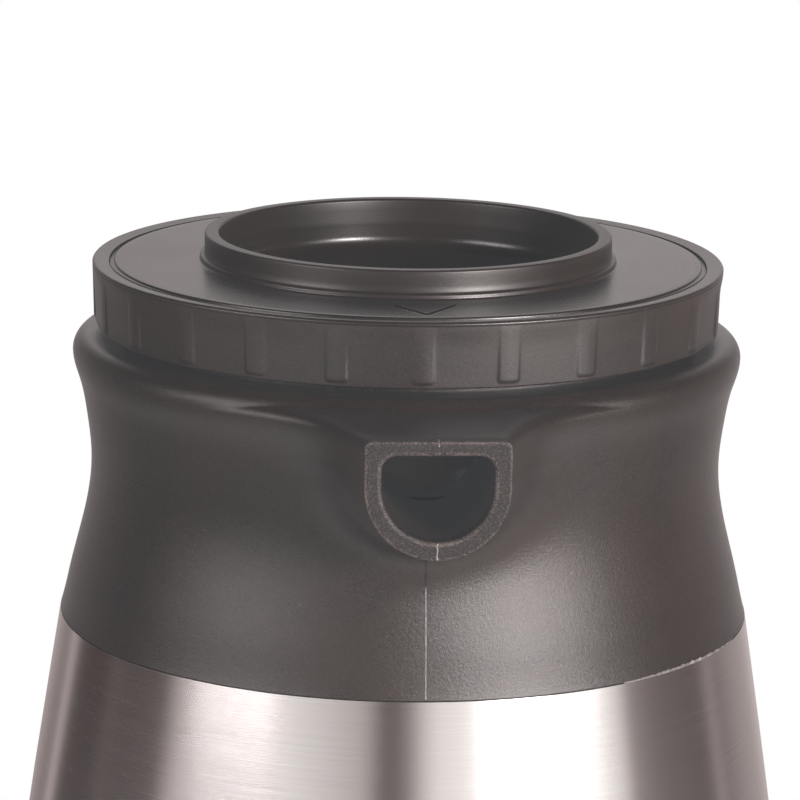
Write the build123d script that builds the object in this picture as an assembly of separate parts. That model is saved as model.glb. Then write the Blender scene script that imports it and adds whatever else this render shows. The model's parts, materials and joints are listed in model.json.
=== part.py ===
"""Insulated serving jug with a brushed steel body and a brew-through lid.

The jug stands on z = 0. Its axis is Z, the spout points along -Y and the handle along +Y.
The lid turns to lock: its ribbed ring has lugs that slide under lugs on the collar's neck.
Each piece is a function that returns one solid, or a group of like solids.
"""
import os
from math import cos, degrees, radians, sin, tan

from build123d import *

# ------------------------------------------------------------------ clearances (mm)
FIT = 0.1            # between pieces that are pressed, clipped or screwed together
RUN = 0.3            # between pieces that move past each other
SCREW_FIT = 0.05     # radial, between a screw's shank and its hole

# ------------------------------------------------------------------ body (mm)
STEEL = 0.8          # wall of the outer shell and of the inner flask
BODY_MAX_R = 77.8    # widest radius of the steel body
BODY_FOOT_R = 76.2   # radius of the steel body at its lower edge
BODY_TOP_R = 66.3    # radius of the steel body where the collar meets it
BODY_TOP_Z = 146.8   # height of that joint
WIDEST_Z = 45.0      # height of the widest place
CONE_ANGLE = 9.1     # slope of the body's side just under the collar, in degrees
VACUUM_GAP = 6.0     # between the two steel walls of the body
NECK_GAP = 1.2       # between the two steel walls of the neck
NECK_R = 50.0        # outer radius of the steel neck
FLASK_LIP_R = 51.0   # rim where the two steel walls are welded
SHELL_NECK_TALL = 9.0    # straight part of the outer shell's neck
FLASK_NECK_TALL = 11.0   # straight part of the flask's neck
FLASK_CORNER = 16.0  # rounding of the flask's floor
BOTTOM_GAP = 7.0     # between the flask's floor and the shell's bottom pan

# ------------------------------------------------------------------ base (mm)
FOOT_PROUD = 1.5     # how far the soft foot ring stands out of the base cup
FOOT_RING_R = 68.0
FOOT_RING_WIDTH = 8.0
FOOT_RING_DEEP = 1.2
BASE_CUP_TOP = 14.0
BASE_CUP_WALL = 2.8
BASE_CUP_FLOOR = 2.5
PAN_DEPTH = 3.0      # height of the bottom pan's rim
PAN_ABOVE_CUP = 0.2
GETTER_R = 6.0
GETTER_TALL = 3.0
GETTER_OUT = 28.0
PORT_R = 2.0         # evacuation hole in the bottom pan
PORT_PLUG_R = 3.6
PORT_PLUG_TALL = 1.0

# ------------------------------------------------------------------ collar (mm)
COLLAR_TALL = 54.4   # from the steel body to the shoulder under the lid
COLLAR_WALL = 3.0
WAIST_R = 60.3       # narrowest radius of the collar
BEAD_R = 63.8        # rounded bead under the lid
BEAD_ROUND = 3.5
SHOULDER_WALL = 2.8
BORE_R = 51.5        # bore that takes the lid's plug
NECK_WALL = 3.0      # wall of the tube around the bore
SEAT_DROP = 22.1     # from the shoulder down to the gasket under the bore
SEAT_LIP = 3.5       # how far the gasket seat stands into the bore
SEAT_THICK = 2.0
GASKET_THICK = 1.5
CLIP_THICK = 2.0
CLIP_R = 53.2
CLIP_SPLIT = 6.0     # gap in the neck clip
TUBE_BELOW_CLIP = 3.5

# ------------------------------------------------------------------ spout (mm)
SPOUT_REACH = 88.0       # from the jug's axis to the mouth
MOUTH_WIDTH = 25.6
MOUTH_TALL = 21.2
MOUTH_TOP_DROP = 1.3     # from the collar's shoulder down to the top of the mouth
MOUTH_CORNER = 1.4
MOUTH_ROUND_SHARE = 0.62  # most of a mouth's height that its round lower part may take
CHANNEL_WIDTH = 19.6
CHANNEL_TALL = 15.4
CHANNEL_DROP = 2.6       # from the mouth's top down to the channel's top
CHANNEL_CORNER = 2.6
CHANNEL_PAST_BORE = 8.0  # how far the channel runs on into the bore
RIM_BAND = 2.2           # length of the raised band around the mouth
RIM_PROUD = 0.5
# Sections of the spout behind its mouth: how far back, added half width, added drop of the floor
SPOUT_SECTIONS = [(9.0, 1.6, 1.2), (19.0, 6.6, 3.6), (29.0, 15.0, 6.5), (38.0, 25.0, 9.0)]

# ------------------------------------------------------------------ handle (mm)
HANDLE_WIDTH = 27.0
HANDLE_DEEP = 20.0       # thickness of the grip, front to back
HANDLE_REACH = 128.0     # from the jug's axis to the back of the handle
HANDLE_TOP_DROP = 12.0   # from the collar's shoulder down to the handle's top
HANDLE_FOOT_Z = 60.0
HANDLE_ROOT = 30.0       # height of the handle where it meets the collar
HANDLE_FOOT_TALL = 22.0  # height of the handle where it meets the body
HANDLE_BEND = 27.0       # radius of the two bends at the handle's back
HANDLE_INNER_BEND = 14.0
HANDLE_FALL = 5.0        # how far the handle's top drops towards the back
HANDLE_LEAN = 8.0        # how much nearer to the body the grip is at its foot
HANDLE_ROUND = 7.5
HANDLE_WALL = 3.2
COVER_THICK = 3.0
COVER_START = 14.0       # from the handle's top, and from its foot, to the cover
SCREW_R = 2.0
SCREW_HEAD_R = 3.6
SCREW_HEAD = 1.8
HANDLE_SCREW_LONG = 16.0
HANDLE_SCREW_PITCH = 14.0
PAD_WIDTH = 24.0
PAD_TALL = 30.0
PAD_THICK = 1.5
TAB_WIDTH = 14.0
TAB_THICK = 3.0
TAB_LONG = 20.0
FOOT_SCREW_LONG = 12.0
FOOT_SCREW_DEEP = 3.0    # how far its head is sunk in the handle's foot

# ------------------------------------------------------------------ lid (mm)
LID_R = 60.1             # top edge of the ribbed ring
SKIRT_TALL = 12.3
SKIRT_TAPER = 0.6        # how much narrower the ring is at its lower edge
SKIRT_GAP = 1.5          # between the ring's lower edge and the collar's shoulder
SKIRT_WALL = 2.4
RIM_BAND_WIDTH = 3.2     # flat band on top of the ring
EDGE_ROUND = 1.0
RIB_COUNT = 24
RIB_WIDTH = 3.9
RIB_END_GAP = 1.0        # from the ribs' ends to the ring's edges
RIB_PHASE = -0.9         # degrees between one rib and the spout
GROOVE_WIDTH = 1.0       # between the ring's band and the disc
LEDGE_THICK = 2.0        # inner ledge that carries the ring
LEDGE_R = 50.9           # hole through that ledge
SPIGOT_WALL = 2.0
LUG_COUNT = 4
LUG_ANGLE = 30.0         # degrees that each lug spans
LUG_OUT = 2.2            # how far the collar's lugs stand out of the neck
LUG_THICK = 2.0
STOP_ANGLE = 2.0
COLLAR_NECK_DROP = 7.5   # from the lid's top down to the top of the collar's neck
FLANGE_OVER = 2.0        # how far the plug's flange reaches over the neck
FLANGE_THICK = 1.8

# ------------------------------------------------------------------ brew cup in the lid (mm)
CUP_R = 36.1             # inner radius of the raised ring
CUP_WALL = 2.7
CUP_TALL = 5.2           # how far the ring stands above the disc
CUP_BEAD = 0.9           # small bead around the ring's foot
CUP_FLOOR_DROP = 5.2     # from the disc down to the ledge around the funnel
CUP_ROUND = 3.0
FUNNEL_SLOPE = 15.0      # degrees
FUNNEL_WALL = 2.2
DRAIN_R = 8.0
DRAIN_WALL = 2.2
DRAIN_BELOW = 1.0        # how far the drain ends under the plug's floor
MARK_TIP_R = 53.5        # V mark on the disc that points at the spout
MARK_SPREAD = 5.4
MARK_LONG = 8.2
MARK_WIDTH = 0.9
MARK_DEEP = 0.4

# ------------------------------------------------------------------ plug, valve and stem (mm)
PLUG_WALL = 3.0
PLUG_GAP = 2.0           # between the plug and the bore
PLUG_DEEP = 18.5         # from the lid's top down to the plug's floor
PLUG_FLOOR = 1.8
LID_GASKET_TALL = 3.5
LID_GASKET_DEEP = 1.5    # depth of its groove
LID_GASKET_UP = 4.5      # from the plug's floor up to the gasket
FOAM_GAP = 0.3
WASHER_THICK = 1.5
CAGE_R = 15.2            # inner radius of the valve cage
CAGE_WALL = 2.0
CAGE_TALL = 19.5
CAGE_SPIGOT_TALL = 4.0   # ring under the plug's floor that the cage clips into
CAGE_SOCKET_TALL = 12.0  # length of the stem that sits in the cage's socket
CAGE_RIB_COUNT = 4
SOCKET_WALL = 2.0
CAGE_FLOOR = 2.0
CAGE_RIB_TALL = 1.0
CAGE_RIB_WIDTH = 1.6
CAGE_OUTLET_R = 6.0
FLOAT_R = 13.8
FLOAT_TRAVEL = 5.0
FLOAT_TOP_R = 9.5
FLOAT_RIM_TALL = 3.0
FLOAT_EDGE = 1.0         # chamfer of its lower edge
STEM_R = 8.0
STEM_WALL = 1.4
STEM_LONG = 142.0
STEM_NOTCH = 5.0         # height of the notches at the stem's lower end
STEM_NOTCH_WIDTH = 6.0

# ------------------------------------------------------------------ levels worked out from these
SHOULDER_Z = BODY_TOP_Z + COLLAR_TALL
SKIRT_Z = SHOULDER_Z + SKIRT_GAP
LID_Z = SKIRT_Z + SKIRT_TALL                 # the lid's flat top
NECK_TOP_Z = LID_Z - COLLAR_NECK_DROP
SEAT_Z = SHOULDER_Z - SEAT_DROP              # underside of the bore's seat
LIP_Z = SEAT_Z - GASKET_THICK                # top of the flask's lip
NECK_Z = LIP_Z - STEEL                       # top of the outer shell
FLANGE_Z = NECK_TOP_Z + RUN                  # underside of the plug's flange
SPIGOT_Z = FLANGE_Z + FLANGE_THICK           # top of the flange
LEDGE_Z = SPIGOT_Z + RUN                     # underside of the ring's ledge
DISC_UNDER_Z = LEDGE_Z + LEDGE_THICK + RUN
PLUG_Z = LID_Z - PLUG_DEEP
CUP_FLOOR_Z = LID_Z - CUP_FLOOR_DROP
MOUTH_TOP_Z = SHOULDER_Z - MOUTH_TOP_DROP
CHANNEL_TOP_Z = MOUTH_TOP_Z - CHANNEL_DROP
NECK_OUT_R = BORE_R + NECK_WALL
DISC_R = LID_R - RIM_BAND_WIDTH - GROOVE_WIDTH
SKIRT_IN_R = LID_R - SKIRT_TAPER / 2 - SKIRT_WALL
SPIGOT_R = LEDGE_R - RUN
PLUG_R = BORE_R - PLUG_GAP
UPSTAND_R = SPIGOT_R - SPIGOT_WALL - FIT     # plug's upstand inside the disc's spigot
DRAIN_OUT_R = DRAIN_R + DRAIN_WALL
STEP_R = BODY_TOP_R - COLLAR_WALL            # steel shoulder under the collar
SKIRT_STEEL_R = BODY_FOOT_R - BASE_CUP_WALL - FIT    # steel inside the base cup
CUP_FLOOR_TOP = FOOT_PROUD + BASE_CUP_FLOOR
STEEL_FOOT_Z = CUP_FLOOR_TOP + PAN_ABOVE_CUP
PAN_Z = STEEL_FOOT_Z + PAN_DEPTH             # underside of the bottom pan
FLASK_Z = PAN_Z + STEEL + BOTTOM_GAP         # underside of the flask
PAD_Z = HANDLE_FOOT_Z + HANDLE_FOOT_TALL / 2
TAB_Z = PAD_Z - TAB_THICK / 2
TAB_END_Y = BODY_MAX_R + TAB_LONG
FOOT_SCREW_Y = TAB_END_Y - TAB_LONG / 3
FOOT_HEAD_Z = HANDLE_FOOT_Z + FOOT_SCREW_DEEP
DRAIN_Z = PLUG_Z - DRAIN_BELOW               # lower end of the drain
WASHER_Z = DRAIN_Z - WASHER_THICK
CAGE_Z = PLUG_Z - CAGE_TALL                  # underside of the valve cage
FLOAT_Z = CAGE_Z + CAGE_FLOOR + CAGE_RIB_TALL + RUN
FLOAT_TOP_Z = WASHER_Z - RUN - FLOAT_TRAVEL
FUNNEL_KNEE_Z = CUP_FLOOR_Z - FUNNEL_WALL    # where the funnel's underside meets the cup's wall
FUNNEL_FALL = tan(radians(FUNNEL_SLOPE))
SLACK = 1.0                                  # how far cutting bodies run past what they cut
CORNER = cos(radians(45))                    # share of a round corner's radius at its middle


# ------------------------------------------------------------------ helpers
def turned(*edges):
    """Solid of revolution about Z from edges given as (r, 0, z) points."""
    return revolve(make_face(Curve() + list(edges)), Axis.Z)


def ring(inner_r, outer_r, low, high):
    """Plain ring, or a disc where inner_r is 0."""
    body = Pos(0, 0, low) * Cylinder(outer_r, high - low, align=(Align.CENTER, Align.CENTER, Align.MIN))
    if inner_r > 0:
        hole = Pos(0, 0, low - SLACK) * Cylinder(
            inner_r, high - low + 2 * SLACK, align=(Align.CENTER, Align.CENTER, Align.MIN))
        body -= hole
    return body


def lathe(*points):
    """Solid of revolution about Z from a closed polygon of (r, z) points."""
    corners = [(r, 0, z) for r, z in points]
    return revolve(make_face(Polyline(*corners, close=True)), Axis.Z)


def sector(inner_r, outer_r, low, high, middle, width):
    """Part of a ring; middle and width are degrees, counted from the spout towards +X."""
    start = middle - width / 2 - 90
    far = 2 * outer_r
    steps = [start, start + width / 2, start + width]
    fan = [(0, 0)] + [(far * cos(radians(a)), far * sin(radians(a))) for a in steps]
    wedge = Pos(0, 0, low - SLACK) * extrude(make_face(Polyline(*fan, close=True)), high - low + 2 * SLACK)
    return ring(inner_r, outer_r, low, high) & wedge


def rod(radius, length, place, direction):
    """Round bar that starts at place and runs along direction."""
    plane = Plane(origin=place, z_dir=direction)
    return plane * Cylinder(radius, length, align=(Align.CENTER, Align.CENTER, Align.MIN))


def block(x_half, y_low, y_high, low, high):
    """Box that is centred on the jug's middle plane."""
    size = (2 * x_half, y_high - y_low, high - low)
    return Pos(0, y_low, low) * Box(*size, align=(Align.CENTER, Align.MIN, Align.MIN))


# ------------------------------------------------------------------ steel body
def side_curve(inset, foot_z, foot_r, top_z):
    """Bulging side of the body, moved inwards by inset, from its foot to the foot of its shoulder."""
    top_r = BODY_TOP_R - inset
    wide_r = BODY_MAX_R - inset
    rise = top_z - WIDEST_Z
    lean = radians(CONE_ANGLE)
    upper = Bezier(
        (wide_r, 0, WIDEST_Z),
        (wide_r, 0, WIDEST_Z + 0.3 * rise),
        (top_r + 0.45 * rise * sin(lean), 0, top_z - 0.45 * rise * cos(lean)),
        (top_r, 0, top_z))
    lower = Bezier(
        (foot_r, 0, foot_z),
        (wide_r, 0, WIDEST_Z - 0.4 * (WIDEST_Z - foot_z)),
        (wide_r, 0, WIDEST_Z))
    return lower, upper


def shoulder_curve(start_r, start_z, neck_r, neck_z):
    """Domed shoulder from the body's side in to the foot of the neck."""
    return Bezier(
        (start_r, 0, start_z),
        (start_r + 0.17 * (neck_r - start_r), 0, start_z + 0.25 * (neck_z - start_z)),
        (neck_r, 0, neck_z - 0.55 * (neck_z - start_z)),
        (neck_r, 0, neck_z))


def filled_shell(inset, low, high):
    """Filled steel body, moved inwards by inset, from low in its skirt to high in its neck."""
    foot_z = BASE_CUP_TOP + inset
    foot_r = BODY_FOOT_R - inset
    top_r = BODY_TOP_R - inset
    top_z = BODY_TOP_Z - inset
    skirt_r = SKIRT_STEEL_R - inset
    step_r = STEP_R - FIT - inset
    neck_r = NECK_R - inset
    neck_z = NECK_Z - SHELL_NECK_TALL
    lower, upper = side_curve(inset, foot_z, foot_r, top_z)
    return turned(
        Line((0, 0, low), (skirt_r, 0, low)),
        Line((skirt_r, 0, low), (skirt_r, 0, foot_z)),
        Line((skirt_r, 0, foot_z), (foot_r, 0, foot_z)),
        lower,
        upper,
        Line((top_r, 0, top_z), (step_r, 0, top_z)),
        shoulder_curve(step_r, top_z, neck_r, neck_z),
        Line((neck_r, 0, neck_z), (neck_r, 0, high)),
        Line((neck_r, 0, high), (0, 0, high)),
        Line((0, 0, high), (0, 0, low)))


def outer_shell():
    """Brushed steel outer wall, with its hidden skirt, its shoulder and its neck."""
    inside = filled_shell(STEEL, STEEL_FOOT_Z - SLACK, NECK_Z + SLACK)
    return filled_shell(0, STEEL_FOOT_Z, NECK_Z) - inside


def filled_flask(inset, floor_z, high):
    """Filled flask, moved inwards by inset, from its floor to high in its neck."""
    gap = VACUUM_GAP + STEEL + inset
    wall_r = BODY_FOOT_R - gap
    corner_r = wall_r - FLASK_CORNER
    start_z = floor_z + FLASK_CORNER
    shoulder_z = BODY_TOP_Z - VACUUM_GAP
    neck_r = NECK_R - STEEL - NECK_GAP - inset
    neck_z = NECK_Z - FLASK_NECK_TALL
    lower, upper = side_curve(gap, start_z, wall_r, shoulder_z)
    return turned(
        Line((0, 0, floor_z), (corner_r, 0, floor_z)),
        Bezier((corner_r, 0, floor_z), (wall_r, 0, floor_z), (wall_r, 0, start_z)),
        lower,
        upper,
        shoulder_curve(BODY_TOP_R - gap, shoulder_z, neck_r, neck_z),
        Line((neck_r, 0, neck_z), (neck_r, 0, high)),
        Line((neck_r, 0, high), (0, 0, high)),
        Line((0, 0, high), (0, 0, floor_z)))


def inner_flask():
    """Steel vessel that holds the drink, with the lip that is welded to the outer shell."""
    lip = ring(0, FLASK_LIP_R, NECK_Z, LIP_Z)
    outside = filled_flask(0, FLASK_Z, NECK_Z + STEEL / 2) + lip
    return outside - filled_flask(STEEL, FLASK_Z + STEEL, LIP_Z + SLACK)


def shell_bottom():
    """Bottom pan welded into the shell's skirt, with the evacuation port in its middle."""
    edge_r = SKIRT_STEEL_R - STEEL
    pan = ring(0, edge_r, STEEL_FOOT_Z, PAN_Z + STEEL)
    pan -= ring(0, edge_r - STEEL, STEEL_FOOT_Z - SLACK, PAN_Z)
    return pan - ring(0, PORT_R, PAN_Z - SLACK, PAN_Z + STEEL + SLACK)


def seal_plug():
    """Brazed plug that closes the evacuation port."""
    head = ring(0, PORT_PLUG_R, PAN_Z - PORT_PLUG_TALL, PAN_Z)
    return head + ring(0, PORT_R - SCREW_FIT, PAN_Z - SLACK, PAN_Z + STEEL)


def getter():
    """Capsule on the bottom pan that keeps the vacuum clean."""
    return Pos(GETTER_OUT, 0, 0) * ring(0, GETTER_R, PAN_Z + STEEL, PAN_Z + STEEL + GETTER_TALL)


def base_cup():
    """Moulded cup around the body's foot."""
    outer_r = BODY_FOOT_R - FIT
    cup = ring(0, outer_r, FOOT_PROUD, BASE_CUP_TOP - FIT)
    cup = fillet(cup.edges().group_by(Axis.Z)[0], BASE_CUP_WALL / 2)
    cup -= ring(0, outer_r - BASE_CUP_WALL + FIT, CUP_FLOOR_TOP, BASE_CUP_TOP + SLACK)
    groove_in = FOOT_RING_R - FOOT_RING_WIDTH - FIT
    return cup - ring(groove_in, FOOT_RING_R + FIT, FOOT_PROUD - SLACK, FOOT_PROUD + FOOT_RING_DEEP)


def foot_ring():
    """Soft ring that the jug stands on."""
    foot = ring(FOOT_RING_R - FOOT_RING_WIDTH, FOOT_RING_R, 0, FOOT_PROUD + FOOT_RING_DEEP)
    return fillet(foot.edges().group_by(Axis.Z)[0], FOOT_PROUD / 3)


# ------------------------------------------------------------------ collar and spout
# Outline of the collar: share of its height, and share of the way from the waist to the foot's radius
COLLAR_OUTLINE = [(0.0, 1.0), (0.151, 0.67), (0.28, 0.37), (0.427, 0.085), (0.565, 0.0),
                  (0.72, 0.15)]
BEAD_OUTLINE = [(0.84, 0.64), (0.886, 0.87)]     # the same, up to the bead's radius


def collar_points(inset):
    """Points of the collar's outline, from its foot to the side of its bead."""
    flare = BODY_TOP_R - WAIST_R
    bead = BEAD_R - WAIST_R
    points = [(WAIST_R + flare * out - inset, BODY_TOP_Z + COLLAR_TALL * up) for up, out in COLLAR_OUTLINE]
    points += [(WAIST_R + bead * out - inset, BODY_TOP_Z + COLLAR_TALL * up) for up, out in BEAD_OUTLINE]
    points.append((BEAD_R - inset, SHOULDER_Z - BEAD_ROUND))
    return points


def collar_r(z):
    """Outer radius of the collar's wall at a height, between the points of its outline."""
    points = collar_points(0)
    for (r1, z1), (r2, z2) in zip(points, points[1:]):
        if z1 <= z <= z2:
            return r1 + (r2 - r1) * (z - z1) / (z2 - z1)
    return points[-1][0]


def collar_body(inset, top):
    """Filled collar under its shoulder, moved inwards by inset and carried on below its foot."""
    points = collar_points(inset)
    side = Spline(*[(r, 0, z) for r, z in points], tangents=[(-0.3, 0, 1), (0, 0, 1)])
    foot_r, foot_z = points[0]
    crest_r, crest_z = points[-1]
    low = foot_z - SLACK
    turn = top - crest_z
    bead_r = crest_r - turn
    bead = ThreePointArc((crest_r, 0, crest_z),
                         (bead_r + turn * CORNER, 0, crest_z + turn * CORNER),
                         (bead_r, 0, top))
    return turned(
        Line((0, 0, low), (foot_r, 0, low)),
        Line((foot_r, 0, low), (foot_r, 0, foot_z)),
        side,
        bead,
        Line((bead_r, 0, top), (0, 0, top)),
        Line((0, 0, top), (0, 0, low)))


def mouth_face(y, width, tall, top, corner):
    """D-shaped face across the spout: flat on top and round below."""
    half = width / 2
    side_z = top - tall + min(half, MOUTH_ROUND_SHARE * tall)
    notch = corner * (1 - CORNER)
    outline = Curve() + [
        Line((-half + corner, y, top), (half - corner, y, top)),
        ThreePointArc((half - corner, y, top),
                      (half - notch, y, top - notch),
                      (half, y, top - corner)),
        Line((half, y, top - corner), (half, y, side_z)),
        ThreePointArc((half, y, side_z), (0, y, top - tall), (-half, y, side_z)),
        Line((-half, y, side_z), (-half, y, top - corner)),
        ThreePointArc((-half, y, top - corner),
                      (-half + notch, y, top - notch),
                      (-half + corner, y, top)),
    ]
    return make_face(outline)


def spout_body():
    """Spout that flares back into the collar, with a raised band around its mouth."""
    mouth_y = -SPOUT_REACH
    faces = [mouth_face(mouth_y, MOUTH_WIDTH - 2 * RIM_PROUD, MOUTH_TALL - 2 * RIM_PROUD,
                        MOUTH_TOP_Z - RIM_PROUD, MOUTH_CORNER)]
    for back, wider, lower in SPOUT_SECTIONS:
        faces.append(mouth_face(mouth_y + back, MOUTH_WIDTH + 2 * wider - 2 * RIM_PROUD,
                                MOUTH_TALL + lower - 2 * RIM_PROUD, MOUTH_TOP_Z - RIM_PROUD, MOUTH_CORNER))
    beak = loft(faces)
    band_face = mouth_face(mouth_y, MOUTH_WIDTH, MOUTH_TALL, MOUTH_TOP_Z, MOUTH_CORNER)
    return beak + extrude(band_face, RIM_BAND, dir=(0, 1, 0))


def spout_channel():
    """Space that the drink runs through, from the bore out of the mouth."""
    face = mouth_face(-SPOUT_REACH - SLACK, CHANNEL_WIDTH, CHANNEL_TALL, CHANNEL_TOP_Z, CHANNEL_CORNER)
    return extrude(face, SPOUT_REACH - BORE_R + CHANNEL_PAST_BORE + SLACK, dir=(0, 1, 0))


def handle_screw_heights():
    """Heights of the two screws that hold the handle on the collar."""
    middle = SHOULDER_Z - HANDLE_TOP_DROP - HANDLE_ROOT / 2
    return [middle - HANDLE_SCREW_PITCH / 2, middle + HANDLE_SCREW_PITCH / 2]


def collar():
    """Moulded collar: outer wall with the spout, shoulder, lug neck and the tube around the bore."""
    body = collar_body(0, SHOULDER_Z) - collar_body(COLLAR_WALL, SHOULDER_Z - SHOULDER_WALL)
    body -= ring(0, 2 * BODY_TOP_R, BODY_TOP_Z - 2 * SLACK, BODY_TOP_Z)
    body += spout_body()
    groove_r = CLIP_R + 2 * FIT
    tube_low = NECK_Z - CLIP_THICK - TUBE_BELOW_CLIP
    body += ring(BORE_R, NECK_OUT_R, tube_low, NECK_TOP_Z)
    body -= ring(0, BORE_R, SEAT_Z, NECK_TOP_Z + SLACK)
    body -= ring(0, FLASK_LIP_R + 2 * FIT, BODY_TOP_Z - SLACK, SEAT_Z)
    body -= ring(0, groove_r, NECK_Z - CLIP_THICK - 2 * FIT, NECK_Z)
    body += ring(BORE_R - SEAT_LIP, BORE_R + SLACK, SEAT_Z, SEAT_Z + SEAT_THICK)
    body -= spout_channel()
    for number in range(LUG_COUNT):
        middle = 360 / LUG_COUNT * number
        body += sector(NECK_OUT_R - SLACK, NECK_OUT_R + LUG_OUT, NECK_TOP_Z - LUG_THICK, NECK_TOP_Z,
                       middle, LUG_ANGLE)
        stop = middle - LUG_ANGLE / 2 - 1.5 * STOP_ANGLE
        body += sector(NECK_OUT_R - SLACK, NECK_OUT_R + LUG_OUT / 2, SHOULDER_Z - SLACK,
                       NECK_TOP_Z - LUG_THICK, stop, STOP_ANGLE)
    for z in handle_screw_heights():
        seat = (0, collar_r(z) - COLLAR_WALL, z)
        body -= rod(SCREW_HEAD_R + FIT, SCREW_HEAD, seat, (0, -1, 0))
        body -= rod(SCREW_R + SCREW_FIT, 2 * COLLAR_WALL, seat, (0, 1, 0))
    return body


def neck_gasket():
    """Silicone ring between the flask's lip and the collar's seat."""
    return ring(BORE_R - SEAT_LIP, FLASK_LIP_R, LIP_Z, SEAT_Z)


def neck_clip():
    """Split ring that holds the collar under the flask's lip."""
    clip = ring(NECK_R + SCREW_FIT, CLIP_R, NECK_Z - CLIP_THICK, NECK_Z)
    return clip - block(CLIP_SPLIT / 2, 0, 2 * CLIP_R, NECK_Z - CLIP_THICK - SLACK, NECK_Z + SLACK)


# ------------------------------------------------------------------ handle
def handle_face(outer_in, inner_in):
    """Side view of the handle, its outer curve and its inner curve each moved into it."""
    top_z = SHOULDER_Z - HANDLE_TOP_DROP - outer_in
    under_z = SHOULDER_Z - HANDLE_TOP_DROP - HANDLE_ROOT + inner_in
    foot_z = HANDLE_FOOT_Z + outer_in
    over_z = HANDLE_FOOT_Z + HANDLE_FOOT_TALL - inner_in
    back_y = HANDLE_REACH - outer_in
    palm_y = HANDLE_REACH - HANDLE_DEEP + inner_in
    root_y = WAIST_R - 2 * COLLAR_WALL
    low_y = BODY_MAX_R - 2 * COLLAR_WALL
    outer = FilletPolyline(
        (0, root_y, top_z), (0, back_y, top_z - HANDLE_FALL), (0, back_y - HANDLE_LEAN, foot_z),
        (0, low_y, foot_z), radius=HANDLE_BEND - outer_in)
    inner = FilletPolyline(
        (0, low_y, over_z), (0, palm_y - HANDLE_LEAN, over_z), (0, palm_y, under_z - HANDLE_FALL),
        (0, root_y, under_z), radius=HANDLE_INNER_BEND + inner_in)
    return make_face(outer + inner + [Line(outer @ 1, inner @ 0), Line(inner @ 1, outer @ 0)])


def slab(face, half_width):
    """Upright slab with this side view, centred on the jug's middle plane."""
    return extrude(face, half_width, dir=(1, 0, 0)) + extrude(face, half_width, dir=(-1, 0, 0))


def handle_blank():
    """Whole rounded handle, cut to the collar and to the bracket's pad."""
    body = Pos(-HANDLE_WIDTH / 2, 0, 0) * extrude(handle_face(0, 0), HANDLE_WIDTH, dir=(1, 0, 0))
    sides = body.faces().sort_by(Axis.X)
    rims = [edge for edge in sides[0].edges() + sides[-1].edges() if edge.bounding_box().size.Y > SLACK]
    body = fillet(rims, HANDLE_ROUND)
    body -= collar_body(-FIT, SHOULDER_Z)
    return body - filled_shell(-PAD_THICK - FIT, STEEL_FOOT_Z, NECK_Z)


def cover_space(margin):
    """Space behind the grip that the cover closes, made smaller by margin."""
    half = HANDLE_WIDTH / 2 - HANDLE_WALL - margin
    low = HANDLE_FOOT_Z + COVER_START + margin
    high = SHOULDER_Z - HANDLE_TOP_DROP - COVER_START - margin
    return block(half, HANDLE_REACH - HANDLE_DEEP - HANDLE_BEND, HANDLE_REACH + SLACK, low, high)


def handle_grip():
    """Hollow handle, open at the back, with holes for its screws and a slot for the bracket's tab."""
    hollow = slab(handle_face(-SLACK, HANDLE_WALL), HANDLE_WIDTH) & cover_space(0)
    grip = handle_blank() - hollow
    for z in handle_screw_heights():
        grip -= rod(SCREW_R + SCREW_FIT, HANDLE_SCREW_LONG + SLACK, (0, collar_r(z) - COLLAR_WALL, z),
                    (0, 1, 0))
    slot_half = TAB_WIDTH / 2 + FIT
    slot_end = TAB_END_Y + FIT
    grip -= block(slot_half, 0, slot_end, TAB_Z - FIT, TAB_Z + TAB_THICK + FIT)
    shank = rod(SCREW_R + SCREW_FIT, FOOT_SCREW_LONG + SLACK, (0, FOOT_SCREW_Y, FOOT_HEAD_Z), (0, 0, 1))
    recess = rod(SCREW_HEAD_R + FIT, FOOT_HEAD_Z - HANDLE_FOOT_Z + SLACK,
                 (0, FOOT_SCREW_Y, FOOT_HEAD_Z), (0, 0, -1))
    return grip - shank - recess


def handle_cover():
    """Strip that closes the back of the handle."""
    core = slab(handle_face(COVER_THICK, -SLACK), HANDLE_WIDTH)
    return (handle_blank() & cover_space(FIT)) - core


def screw(length, place, direction):
    """Round-headed screw; place is under its head and direction is the way its shank points."""
    back = tuple(-part for part in direction)
    return rod(SCREW_R, length, place, direction) + rod(SCREW_HEAD_R, SCREW_HEAD, place, back)


def handle_screws():
    """Two screws that go through the collar's wall from inside."""
    screws = []
    for z in handle_screw_heights():
        screws.append(screw(HANDLE_SCREW_LONG, (0, collar_r(z) - COLLAR_WALL - FIT, z), (0, 1, 0)))
    return Compound(children=screws)


def handle_bracket():
    """Steel pad welded on the shell, with a tab that goes into the handle's foot."""
    pad = filled_shell(-PAD_THICK, STEEL_FOOT_Z, NECK_Z)
    pad &= block(PAD_WIDTH / 2, 0, 2 * BODY_MAX_R, PAD_Z - PAD_TALL / 2, PAD_Z + PAD_TALL / 2)
    tab = block(TAB_WIDTH / 2, BODY_TOP_R, TAB_END_Y, TAB_Z, TAB_Z + TAB_THICK)
    tab -= rod(SCREW_R + SCREW_FIT, TAB_THICK + 2 * SLACK, (0, FOOT_SCREW_Y, TAB_Z - SLACK), (0, 0, 1))
    return pad + tab - filled_shell(0, STEEL_FOOT_Z, NECK_Z)


def foot_screw():
    """Screw that holds the handle's foot on the bracket's tab, from below."""
    return screw(FOOT_SCREW_LONG, (0, FOOT_SCREW_Y, FOOT_HEAD_Z), (0, 0, 1))


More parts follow.
